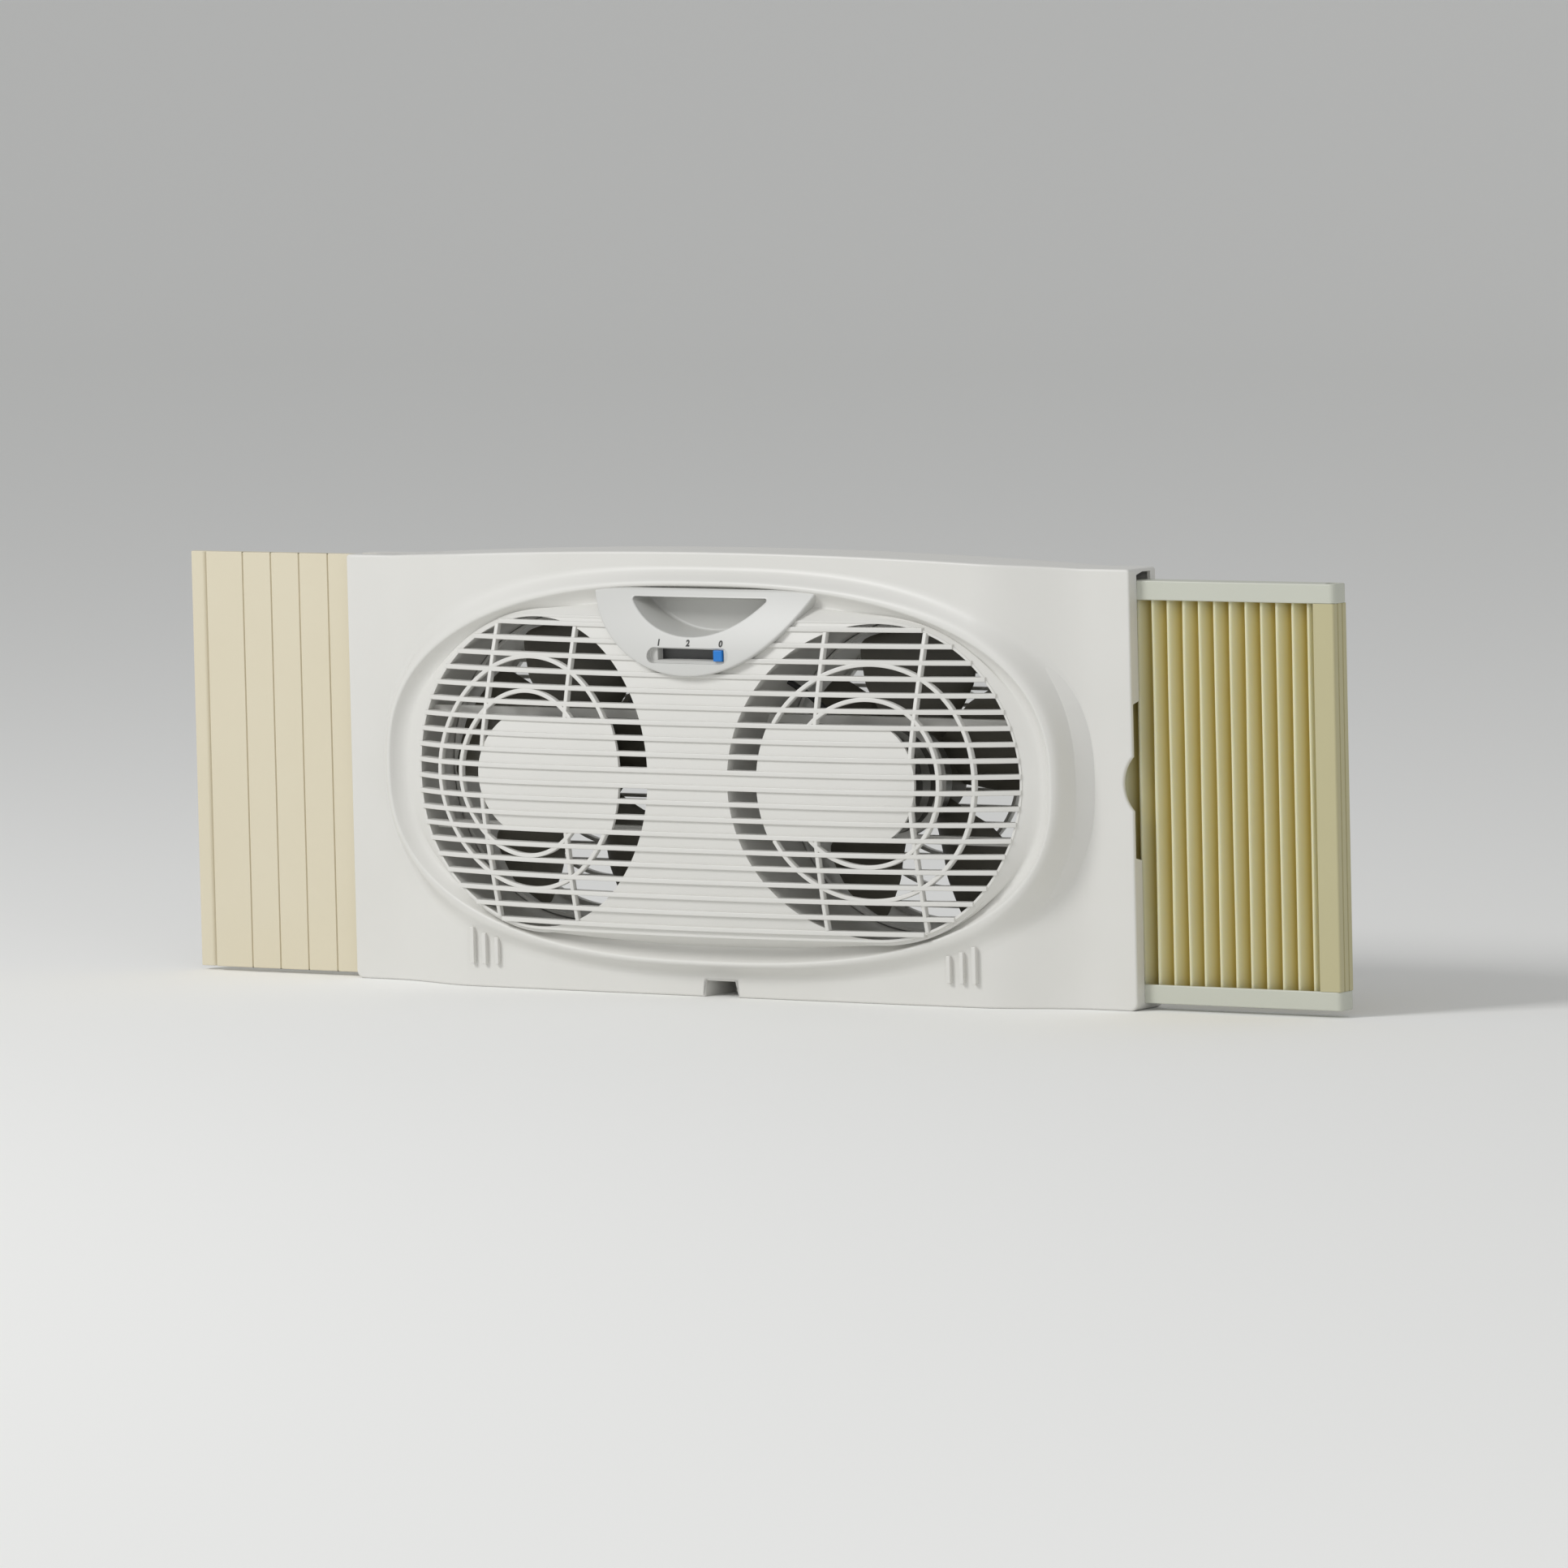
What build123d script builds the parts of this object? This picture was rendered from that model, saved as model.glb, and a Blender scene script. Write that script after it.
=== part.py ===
from build123d import *
import os
from math import cos, pi, radians, sin, sqrt

# Twin window fan: a low, wide plastic housing of two shells with two axial fans side by side, a domed
# grille, a speed slider in a D-shaped bezel, a flat filler panel at the left end and a pleated expander
# between two rails at the right end.
# Frame: X to the right from the middle of the housing, Y backwards from the plane where the two shells
# meet, Z up from the face that stands on the window sill. Millimetres.

# --- Housing ---------------------------------------------------------------------------------------
WIDTH = 673.0
END_HEIGHT = 310.0
CROWN_HEIGHT = 318.2
CROWN_HALF = 295.0
FLANGE = 18.0                 # depth of each shell's half of the flange
WALL = 2.5
LOW_CORNER = 6.0
FAR = 120.0                   # deeper than any front piece, for cutting tools
SWELL_SIDE = 20.0             # bulge of the face where the S-curve ends
SWELL_MIDDLE = 22.0
SWELL_X = 216.0
FLAT_X = 303.0                # outside this the face is flat

# --- Raised oval ridge and the dish inside it -------------------------------------------------------
RIDGE_Z = 161.0
RIDGE_HALF_WIDTH = 284.5
RIDGE_HALF_HEIGHT = 135.5
RIDGE_END_RADIUS = 110.0
RIDGE_SIDE = 25.8             # height of the crest above the flange face at the oval's ends
RIDGE_MIDDLE = 35.0           # and at its middle
RIDGE_SLOPE = 0.75            # sideways run of the outer slope for each millimetre of height
RIDGE_LAND = 3.0
DISH_DEPTH = 7.0

# --- Fans and air openings --------------------------------------------------------------------------
FAN_X = 145.65
FAN_Z = 159.0
OPENING_RADIUS = 111.5
DUCT_RADIUS = 108.5
COLLAR_OUTSIDE = 116.0
REAR_DEPTH = 43.0
REAR_HALF_WIDTH = 290.0
REAR_LOW = 24.0
REAR_HIGH = 298.0
REAR_CORNER = 14.0

# --- Domed grille -----------------------------------------------------------------------------------
DOME_TOP = 60.9
DOME_FALL = 36.0
DOME_REACH = 257.0
DOME_POWER = 1.3              # the dome falls to its ends with this power of x far above and below the fans
DOME_POWER_MORE = 3.4         # and with so much more at the level of their axes,
DOME_POWER_REACH = 55.0       # half of which is left at this height over them
DOME_LEAN = 15.0              # how far the dome falls back at its top and bottom
DOME_LEAN_REACH = 121.0
DOME_TILT = 3.0               # and how much further it falls back at its top than at its middle
GRILLE_HALF_HEIGHT = 113.5
GRILLE_REACH = FAN_X + GRILLE_HALF_HEIGHT
BAR_COUNT = 20
BAR_PITCH = 11.3
BAR_HEIGHT = 3.5
BAR_DEPTH = 8.0
WEB_RECESS = 3.0
WEB_THICK = 2.5
RING_RADII = (83.5, 59.2)
RING_WIDTH = 3.0
RING_DEPTH = 4.0
RIB_OFFSET = 38.2
HUB_PLATE_HALF = 3.5 * BAR_PITCH
HUB_PLATE_IN = 59.0
HUB_PLATE_OUT = 187.2
HUB_PLATE_IN_RADIUS = 95.0
HUB_PLATE_OUT_RADIUS = 45.0

# --- Control bezel, hand-hold and speed slider --------------------------------------------------------
BEZEL_CENTRE_Z = 338.0
BEZEL_RADIUS = 106.0
BEZEL_TOP = 292.0
BEZEL_BACK = -44.0
BEZEL_CURVE = [(-53.0, 297.0), (-55.0, 292.0), (-66.5, 270.0), (-74.5, 247.0), (-77.0, 228.0)]
CUP_RADIUS = 78.0
CUP_TOP = 287.0
CUP_BACK = -34.0
CUP_WALL = 2.0
CUP_CORNER = 4.0
SLOT_WIDTH = 69.6
SLOT_HEIGHT = 11.0
SLOT_Z = 247.5
SLOT_FLOOR = -70.5
SLOT_WALL = 1.2
SWITCH_FRONT = -68.5
SWITCH_BACK = -52.0
SWITCH_X = (-34.6, 36.0)
SWITCH_Z = (241.6, 256.4)
TRACK_X = (-32.4, 34.0)
TRACK_Z = (243.0, 254.8)
TRACK_BACK = -60.0
WINDOW_X = (-28.2, 30.2)
WINDOW_Z = (242.9, 251.3)
KNOB_X = 26.0
KNOB_WIDTH = 7.5
KNOB_Z = (243.0, 251.2)
KNOB_FRONT = -73.5
CARRIER_WIDTH = 10.0
FIT = 0.05                    # running clearance

# --- Motors and impellers -----------------------------------------------------------------------------
MOTOR_RADIUS = 38.0
STATOR_Y = (-42.0, -24.0)
STATOR_BORE = 20.6
BELL_DEPTH = 10.0
BELL_INSIDE = 33.2
BELL_PLATE = 2.5
BEARING_SEAT = 11.0
BEARING_RADIUS = 8.0
BEARING_LENGTH = 6.0
SHAFT_RADIUS = 4.0
SHAFT_Y = (-49.0, 26.0)
ROTOR_RADIUS = 20.0
ROTOR_Y = (-43.0, -23.0)
COIL_RADII = (22.0, 33.0)
COIL_LENGTH = 5.0
BOLT_CIRCLE = 35.5
BOLT_RADIUS = 1.5
BOLT_HEAD_RADIUS = 2.4
BRACKET_Y = (-34.5, -28.0)
BRACKET_RING = 42.0
ARM_OFFSET = 41.5
ARM_HEIGHT = 6.0
BLADE_COUNT = 5
BLADE_RADIUS = 105.0
BLADE_THICK = 2.2
BLADE_Y = 5.0
BLADE_SECTIONS = [(24.0, 34.0, 35.0), (65.0, 78.0, 24.0), (107.0, 92.0, 17.0)]   # radius, chord, pitch
HUB_RADIUS = 30.0
HUB_Y = (-8.0, 18.0)
HUB_SLEEVE = 8.0
NUT_ACROSS = 14.0
NUT_HEIGHT = 6.0
GUARD_Y = (38.0, 43.0)
GUARD_RIM = 3.5
GUARD_PITCH = 12.0
GUARD_BAR = 2.4
LEAD_RADIUS = 2.2
LEAD_POINTS = [(20.0, -52.0, 249.0), (20.0, -34.0, 249.0), (72.0, -26.0, 217.0), (120.0, -19.0, 178.0)]
LEAD_BENDS = [9.0, 22.0]

# --- Right expander -------------------------------------------------------------------------------------
RAIL_X = (297.0, 497.0)
RAIL_Y = (-7.6, 10.4)
TOP_RAIL_Z = (289.0, 301.7)
LOW_RAIL_Z = (5.0, 18.3)
RAIL_WALL = 2.0
RAIL_HOLE_X = 490.0
RAIL_HOLE_RADIUS = 4.5
RAIL_CORNER = 4.0
POST_X = (480.0, 496.5)
POST_GROOVE = 1.5
GUIDE_GAP = 0.2
PLEAT_COUNT = 17
PLEAT_X = (274.0, 480.0)
PLEAT_Y = (-5.2, 8.0)
PLEAT_Z = (13.0, 294.0)
PLEAT_SHEET = 2.0             # thickness measured along Y, across a steep pleat
CLAMP_X = (270.0, 274.0)
CLAMP_Y = (-7.0, 9.5)
CLAMP_Z = (20.0, 288.0)
SIDE_CUT_Z = (105.5, 217.3)
FINGER_Z = 159.6
FINGER_HALF = 19.1
FINGER_DEPTH = 7.8
RIB_THICK = 3.0
RAIL_RIBS_X = (150.0, 190.0, 230.0, 322.0)
SHELF_X = (140.0, 325.0)

# --- Left panel -------------------------------------------------------------------------------------------
PANEL_X = (-471.2, -322.0)
PANEL_Y = (-7.5, 0.5)
PANEL_Z = (3.0, 309.5)
PANEL_EDGE_X = (-486.0, -471.2)
PANEL_EDGE_STEP = 1.5
PANEL_GROOVES = (-438.0, -412.5, -387.0, -361.0)
PANEL_GROOVE = 1.0
PANEL_SLOT_END = -262.0
PANEL_RIBS_X = (-331.0, -300.0)

# --- Small features of the shells ----------------------------------------------------------------------------
NOTCH_HALF = 14.3
NOTCH_HEIGHT = 11.5
NOTCH_BACK = -2.0
FACE_RIBS = ((194.5, 35.5), (205.5, 38.0), (216.0, 42.0))
FACE_RIB_LOW = 17.0
FACE_RIB_WIDTH = 3.4
FACE_RIB_FRONT = -39.8
BODY_SCREWS = ((-258.0, 60.0), (-258.0, 258.0), (258.0, 60.0), (258.0, 258.0))
FLANGE_SCREWS = ((-110.0, 12.0), (110.0, 12.0), (-110.0, 309.5), (110.0, 309.5))
BOSS_RADIUS = 4.0
SCREW_RADIUS = 1.6
SCREW_HEAD = 3.0
SCREW_HEAD_HEIGHT = 2.5
SCREW_BITE = 12.0
GLAND_X = -275.0
GLAND_Z = 42.0
GLAND_BORE = 3.3
GLAND_BARREL = 6.0
GLAND_FLANGE = 9.0
GLAND_Y = (36.0, 45.5)


def prism(face, front, back):
    """Solid from a face drawn in X and Z, between two depths along Y."""
    return extrude(Plane.XZ.offset(-back) * face, back - front, dir=(0, -1, 0))


def slab(face, low, high):
    """Solid from a face drawn in X and Y, between two heights along Z."""
    return extrude(Plane.XY.offset(low) * face, high - low, dir=(0, 0, 1))


def block(x, y, z):
    """Box between a low and a high value on each axis."""
    size = [pair[1] - pair[0] for pair in (x, y, z)]
    middle = [(pair[0] + pair[1]) / 2 for pair in (x, y, z)]
    return Pos(*middle) * Box(*size)


def rod(x, z, radius, front, back):
    """Round solid along Y."""
    return prism(Pos(x, z) * Circle(radius), front, back)


def save(node, solid):
    """Write one node's STEP file."""
    export_step(Part() + solid, f"parts/{node}.step")


# === Housing shells ============================================================================================
def outline(inset):
    """Front view of the housing: a rectangle with round lower corners and a crowned top."""
    half = WIDTH / 2 - inset
    top = END_HEIGHT - inset
    body = make_face(Polyline((-half, inset), (half, inset), (half, top), (-half, top), close=True))
    body = fillet(body.vertices().sort_by(Axis.Y)[:2], LOW_CORNER - inset)
    crown = ThreePointArc((-CROWN_HALF, top), (0, CROWN_HEIGHT - inset), (CROWN_HALF, top))
    return body + make_face([crown, Line((CROWN_HALF, top), (-CROWN_HALF, top))])


def swell_profile(inset):
    """Top view of the front shell without its ridge: flat ends, S-curves and a shallow arc."""
    half = WIDTH / 2
    flat = -FLANGE + inset
    side = flat - SWELL_SIDE
    left = Spline((-FLAT_X, flat), (-SWELL_X, side), tangents=((1, 0), (1, 0)))
    middle = ThreePointArc((-SWELL_X, side), (0, flat - SWELL_MIDDLE), (SWELL_X, side))
    right = Spline((SWELL_X, side), (FLAT_X, flat), tangents=((1, 0), (1, 0)))
    back = Polyline((FLAT_X, flat), (half, flat), (half, 0), (-half, 0), (-half, flat), (-FLAT_X, flat))
    return make_face([left, middle, right, back])


def ridge_height(x):
    """Height of the ridge's crest above the flange face: an arc over the width of the oval."""
    rise = RIDGE_MIDDLE - RIDGE_SIDE
    radius = (RIDGE_HALF_WIDTH ** 2 + rise ** 2) / (2 * rise)
    return RIDGE_MIDDLE - radius + sqrt(radius ** 2 - x ** 2)


def ridge_profile(inset):
    """Top view of everything behind the crest's arc."""
    half = WIDTH / 2
    side = -FLANGE - ridge_height(half) + inset
    arc = ThreePointArc((-half, side), (0, -FLANGE - RIDGE_MIDDLE + inset), (half, side))
    return make_face([arc, Polyline((half, side), (half, 0), (-half, 0), (-half, side))])


def oval(half_width, half_height, end_radius):
    """Four tangent arcs: two at the ends and two long, flat ones above and below."""
    end_x = half_width - end_radius
    long_radius = (end_x ** 2 + half_height ** 2 - end_radius ** 2) / (2 * (half_height - end_radius))
    reach = long_radius / (long_radius - end_radius)
    x = end_x * reach
    z = (long_radius - half_height) * (reach - 1)
    top = ThreePointArc((-x, z), (0, half_height), (x, z))
    right = ThreePointArc((x, z), (half_width, 0), (x, -z))
    bottom = ThreePointArc((x, -z), (0, -half_height), (-x, -z))
    left = ThreePointArc((-x, -z), (-half_width, 0), (-x, z))
    return Pos(0, RIDGE_Z) * make_face([top, right, bottom, left])


def ridge_section(height, inset):
    """Oval slice of the ridge's sloping outside at one height above the flange face."""
    side = (RIDGE_SIDE - height) * RIDGE_SLOPE - inset
    ends = (RIDGE_MIDDLE - height) * RIDGE_SLOPE - inset
    face = oval(RIDGE_HALF_WIDTH + side, RIDGE_HALF_HEIGHT + ends, RIDGE_END_RADIUS + side)
    return Plane.XZ.offset(FLANGE + height) * face


def front_form(inset):
    """Outside form of the front shell, or the same form set inwards for its hollow."""
    swell = slab(swell_profile(inset), 0, FAR * 3)
    cone = loft([ridge_section(0, inset), ridge_section(RIDGE_MIDDLE + 1, inset)], ruled=True)
    ridge = cone & slab(ridge_profile(inset), 0, FAR * 3)
    rim = RIDGE_LAND - inset
    mouth = oval(RIDGE_HALF_WIDTH - rim, RIDGE_HALF_HEIGHT - rim, RIDGE_END_RADIUS - rim)
    dish = prism(mouth, -FAR, 0) - slab(ridge_profile(inset + DISH_DEPTH), 0, FAR * 3)
    return ((swell + ridge) & prism(outline(inset), -FAR, 0)) - dish


def rear_form(inset):
    """Outside form of the rear shell: its half of the flange and the shallow box behind it."""
    width = 2 * (REAR_HALF_WIDTH - inset)
    height = REAR_HIGH - REAR_LOW - 2 * inset
    box = Pos(0, (REAR_LOW + REAR_HIGH) / 2) * RectangleRounded(width, height, REAR_CORNER - inset)
    return prism(outline(inset), 0, FLANGE - inset) + prism(box, 0, REAR_DEPTH - inset)


def grille_outline(inset):
    """Long round-ended outline of the grille."""
    shape = SlotOverall(2 * (GRILLE_REACH - inset), 2 * (GRILLE_HALF_HEIGHT - inset))
    return Pos(0, FAN_Z) * shape


def segment(radius, top):
    """Part of a disc about the bezel's centre that lies below a level edge."""
    half = sqrt(radius ** 2 - (BEZEL_CENTRE_Z - top) ** 2)
    arc = ThreePointArc((-half, top), (0, BEZEL_CENTRE_Z - radius), (half, top))
    return make_face([arc, Line((half, top), (-half, top))])


def guide_ribs(front, back):
    """Upright plates beside the two rails, between two depths."""
    ribs = []
    for x in RAIL_RIBS_X:
        across = (x - RIB_THICK / 2, x + RIB_THICK / 2)
        ribs.append(block(across, (front, back), (TOP_RAIL_Z[0], TOP_RAIL_Z[1] + 2)))
        ribs.append(block(across, (front, back), (0, LOW_RAIL_Z[1])))
    return ribs


def panel_ribs(front, back):
    """Upright plates beside the left panel, between two depths."""
    reach = (CLAMP_Z[0], CLAMP_Z[1])
    return [block((x - RIB_THICK / 2, x + RIB_THICK / 2), (front, back), reach) for x in PANEL_RIBS_X]


def cable_path():
    """Route of a motor's lead: out of the back of the switch, through the duct wall, to the motor."""
    return FilletPolyline(*LEAD_POINTS, radius=LEAD_BENDS)


def lead(side):
    """Lead of one motor, cut off flush with the motor."""
    path = cable_path()
    tube = sweep(Plane(path @ 0, z_dir=path % 0) * Circle(LEAD_RADIUS), path)
    tube = Part() + tube - rod(FAN_X, FAN_Z, MOTOR_RADIUS, -FAR, 0)
    tube = tube.solids().sort_by(SortBy.VOLUME)[-1]
    return tube if side > 0 else mirror(tube, about=Plane.YZ)


def collar(side):
    """Round wall, as deep as the front shell, that leads the air from an opening to the rear shell's duct."""
    return Pos(side * FAN_X, 0, FAN_Z) * tube(COLLAR_OUTSIDE, OPENING_RADIUS, -FAR, 0)


def mouth_cuts():
    """What the grille and the control bezel take out of everything behind them."""
    grille = prism(grille_outline(0), -FAR, 0) - slab(ridge_profile(DISH_DEPTH + WALL), 0, FAR * 3)
    return [grille, prism(segment(BEZEL_RADIUS, BEZEL_TOP), -FAR, CUP_BACK + WALL)]


def inlet_ring(side):
    """Separate ring inside the front shell, on which a motor's bracket is fixed."""
    return (collar(side) & front_form(WALL)) - mouth_cuts() - lead(side)


def front_shell():
    """Front half of the housing."""
    hollow = front_form(WALL)
    shell = front_form(0) - hollow
    inside = front_form(WALL / 2)
    bosses = [rod(x, z, BOSS_RADIUS, -FAR, 0) for x, z in BODY_SCREWS + FLANGE_SCREWS]
    ribs = guide_ribs(-FAR, RAIL_Y[0] - GUIDE_GAP) + panel_ribs(-FAR, PANEL_Y[0] - GUIDE_GAP)
    ribs.append(block((CLAMP_X[0], CLAMP_X[1]), (-FAR, CLAMP_Y[0]), CLAMP_Z))
    notch_lining = block((-NOTCH_HALF - WALL, NOTCH_HALF + WALL), (-FAR, 0), (0, NOTCH_HEIGHT + WALL))
    shell += (Part() + bosses + ribs + [notch_lining]) & inside
    for x, top in FACE_RIBS:
        for side in (-1, 1):
            across = (side * x - FACE_RIB_WIDTH / 2, side * x + FACE_RIB_WIDTH / 2)
            shell += block(across, (FACE_RIB_FRONT, FACE_RIB_FRONT + WALL), (FACE_RIB_LOW, top))
    cuts = mouth_cuts()
    cuts.append(block((-NOTCH_HALF, NOTCH_HALF), (-FAR, NOTCH_BACK), (-1, NOTCH_HEIGHT)))
    cuts += [rod(x, z, SCREW_RADIUS, -SCREW_BITE, 1) for x, z in BODY_SCREWS + FLANGE_SCREWS]
    cuts += [right_slot(), panel_slot(), lead(-1), lead(1)]
    end = WIDTH / 2
    cuts.append(block((end - WALL - 1, end + 1), (-FLANGE + WALL, 0), SIDE_CUT_Z))
    radius = (FINGER_HALF ** 2 + FINGER_DEPTH ** 2) / (2 * FINGER_DEPTH)
    cuts.append(rod(end - FINGER_DEPTH + radius, FINGER_Z, radius, -FLANGE - 1, 0))
    return shell - cuts


def right_slot():
    """Mouth in the right end of the flange, through which the expander slides."""
    depth = (RAIL_Y[0] - GUIDE_GAP, RAIL_Y[1] + GUIDE_GAP)
    height = (LOW_RAIL_Z[0] - GUIDE_GAP, END_HEIGHT - WALL)
    return block((WIDTH / 2 - WALL - 1, WIDTH / 2 + 1), depth, height)


def panel_slot():
    """Slot in the left end and in the top of the flange, in which the left panel slides."""
    depth = (PANEL_Y[0] - GUIDE_GAP, PANEL_Y[1] + GUIDE_GAP)
    return block((-WIDTH / 2 - 1, PANEL_SLOT_END), depth, (WALL, CROWN_HEIGHT))


def rear_shell():
    """Rear half of the housing, with both ducts, the shelves of the rails and the screw bosses."""
    inside = rear_form(WALL / 2)
    shell = rear_form(0) - rear_form(WALL)
    ribs = guide_ribs(RAIL_Y[1] + GUIDE_GAP, FAR) + panel_ribs(PANEL_Y[1] + GUIDE_GAP, FAR)
    ribs.append(block((CLAMP_X[0], CLAMP_X[1]), (CLAMP_Y[1], FAR), CLAMP_Z))
    ducts = [rod(side * FAN_X, FAN_Z, DUCT_RADIUS + WALL, 0, REAR_DEPTH) for side in (-1, 1)]
    bosses = [rod(x, z, BOSS_RADIUS, 0, REAR_DEPTH) for x, z in BODY_SCREWS + FLANGE_SCREWS]
    shell += (Part() + ribs + ducts + bosses) & inside
    shelf_y = (RAIL_Y[0], FLANGE - WALL / 2)
    shell += block(SHELF_X, shelf_y, (TOP_RAIL_Z[1] + GUIDE_GAP, TOP_RAIL_Z[1] + RAIL_WALL))
    shell += block(SHELF_X, (0, shelf_y[1]), (WALL / 2, LOW_RAIL_Z[0] - GUIDE_GAP))
    cuts = [rod(side * FAN_X, FAN_Z, DUCT_RADIUS, -1, REAR_DEPTH + 1) for side in (-1, 1)]
    cuts += [rod(x, z, SCREW_RADIUS, -1, REAR_DEPTH + 1) for x, z in BODY_SCREWS + FLANGE_SCREWS]
    for rear, places in ((REAR_DEPTH, BODY_SCREWS), (FLANGE, FLANGE_SCREWS)):
        cuts += [rod(x, z, SCREW_HEAD + FIT, rear - SCREW_HEAD_HEIGHT, rear + 1) for x, z in places]
    cuts += [right_slot(), panel_slot(), rod(GLAND_X, GLAND_Z, GLAND_BARREL, 0, REAR_DEPTH + 1)]
    return shell - cuts


def shell_screws():
    """All screws that join the shells from behind."""
    screws = []
    for rear, places in ((REAR_DEPTH, BODY_SCREWS), (FLANGE, FLANGE_SCREWS)):
        head = rear - SCREW_HEAD_HEIGHT
        for x, z in places:
            shank = rod(x, z, SCREW_RADIUS, -SCREW_BITE, head)
            screws.append(shank + rod(x, z, SCREW_HEAD, head, rear - FIT))
    return screws


def cord_gland():
    """Bushing in the rear wall with a hole for the mains cord."""
    barrel = rod(GLAND_X, GLAND_Z, GLAND_BARREL, GLAND_Y[0], REAR_DEPTH)
    flange = rod(GLAND_X, GLAND_Z, GLAND_FLANGE, REAR_DEPTH, GLAND_Y[1])
    return barrel + flange - rod(GLAND_X, GLAND_Z, GLAND_BORE, GLAND_Y[0] - 1, GLAND_Y[1] + 1)


# === Grilles =======================================================================================================
def dome_curve(recess, height):
    """Top view of the dome's front at a height over the fans' axes, or of a surface a little behind it."""
    steps = 8
    power = DOME_POWER + DOME_POWER_MORE / (1 + (height / DOME_POWER_REACH) ** 2)
    share = height / DOME_LEAN_REACH
    front = recess - FLANGE - DOME_TOP + DOME_LEAN * share ** 2 + DOME_TILT * share
    points = []
    for i in range(-steps, steps + 1):
        x = GRILLE_REACH * i / steps
        points.append((x, front + DOME_FALL * abs(x / DOME_REACH) ** power))
    return Spline(points)


def dome_band(recess, thick, height):
    """Face between two of those curves."""
    front = dome_curve(recess, height)
    back = dome_curve(recess + thick, height)
    return make_face([front, back, Line(front @ 0, back @ 0), Line(front @ 1, back @ 1)])


def dome_strips(recess, thick, tall):
    """Level strips stacked with the bars' pitch, each bent to the dome at its own height."""
    strips = []
    count = BAR_COUNT if tall < BAR_PITCH else BAR_COUNT + 1
    for i in range(count):
        height = (i - (count - 1) / 2) * BAR_PITCH
        low = FAN_Z + height - tall / 2
        strips.append(slab(dome_band(recess, thick, height), low, low + tall))
    return Part() + strips


def hub_plate(side):
    """Plate in front of a motor: level top and bottom, arcs at both sides, and a spoke to the web."""
    low = FAN_Z - HUB_PLATE_HALF
    high = FAN_Z + HUB_PLATE_HALF
    inner = HUB_PLATE_IN + HUB_PLATE_IN_RADIUS - sqrt(HUB_PLATE_IN_RADIUS ** 2 - HUB_PLATE_HALF ** 2)
    outer = HUB_PLATE_OUT - HUB_PLATE_OUT_RADIUS + sqrt(HUB_PLATE_OUT_RADIUS ** 2 - HUB_PLATE_HALF ** 2)
    left = ThreePointArc((inner, low), (HUB_PLATE_IN, FAN_Z), (inner, high))
    right = ThreePointArc((outer, low), (HUB_PLATE_OUT, FAN_Z), (outer, high))
    plate = make_face([left, right, Line((inner, low), (outer, low)), Line((inner, high), (outer, high))])
    spoke = Pos(HUB_PLATE_IN / 2, FAN_Z) * Rectangle(HUB_PLATE_IN + RING_WIDTH, BAR_PITCH)
    shape = plate + spoke
    return shape if side > 0 else mirror(shape, about=Plane.YZ)


def front_grille():
    """Domed grille: bars over a stepped web, rings and upright ribs, and a skirt round its edge."""
    web_mask = grille_outline(0)
    ribs = []
    for side in (-1, 1):
        web_mask -= Pos(side * FAN_X, FAN_Z) * Circle(OPENING_RADIUS)
        for radius in RING_RADII:
            ring = Circle(radius + RING_WIDTH / 2) - Circle(radius - RING_WIDTH / 2)
            ribs.append(prism(Pos(side * FAN_X, FAN_Z) * ring, -FAR, 0))
        for offset in (-RIB_OFFSET, RIB_OFFSET):
            length = 2 * sqrt(OPENING_RADIUS ** 2 - offset ** 2)
            upright = Pos(side * FAN_X + offset, FAN_Z) * Rectangle(RING_WIDTH, length)
            ribs.append(prism(upright, -FAR, 0))
    web_mask += [hub_plate(-1), hub_plate(1)]
    web = dome_strips(WEB_RECESS, WEB_THICK, BAR_PITCH) & prism(web_mask, -FAR, 0)
    bars = dome_strips(0, BAR_DEPTH, BAR_HEIGHT) & prism(grille_outline(0), -FAR, 0)
    net = dome_strips(0, RING_DEPTH, BAR_PITCH) & (Part() + ribs)
    rim = grille_outline(0) - grille_outline(GRILLE_HALF_HEIGHT - OPENING_RADIUS)
    skirt = dome_strips(0, FLANGE * 2, BAR_PITCH) & prism(rim, -FAR, 0)
    behind_dish = slab(ridge_profile(DISH_DEPTH + WALL), 0, FAR * 3)
    grille = web + bars + net + (skirt - behind_dish)
    rings = behind_dish & (collar(-1) + collar(1))
    return grille - [rings, prism(segment(BEZEL_RADIUS, BEZEL_TOP), -FAR, 0)]


def rear_guard(side):
    """Flat guard behind one impeller: a rim, two rings and level bars."""
    radius = DUCT_RADIUS
    disc = Circle(radius)
    shape = disc - Circle(radius - GUARD_RIM)
    for ring in RING_RADII:
        shape += Circle(ring + GUARD_BAR / 2) - Circle(ring - GUARD_BAR / 2)
    count = int(radius / GUARD_PITCH)
    bars = [Pos(0, i * GUARD_PITCH) * Rectangle(2 * radius, GUARD_BAR) for i in range(-count, count + 1)]
    shape += (Sketch() + bars) & disc
    return prism(Pos(side * FAN_X, FAN_Z) * shape, *GUARD_Y)


# === Controls ========================================================================================================
def bezel_side(inset, back):
    """Everything between the bezel's leaning front, set back by the inset, and a depth behind it."""
    points = [(y + inset, z) for y, z in BEZEL_CURVE]
    front = Spline(points)
    close = Polyline(points[-1], (back, points[-1][1]), (back, points[0][1]), points[0])
    return extrude(Plane.YZ * make_face([front, close]), WIDTH / 2, both=True)


def cup_outline(grow):
    """Opening of the hand-hold, or its outside."""
    face = segment(CUP_RADIUS + grow, CUP_TOP + grow)
    return fillet(face.vertices(), CUP_CORNER + grow)


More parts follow.
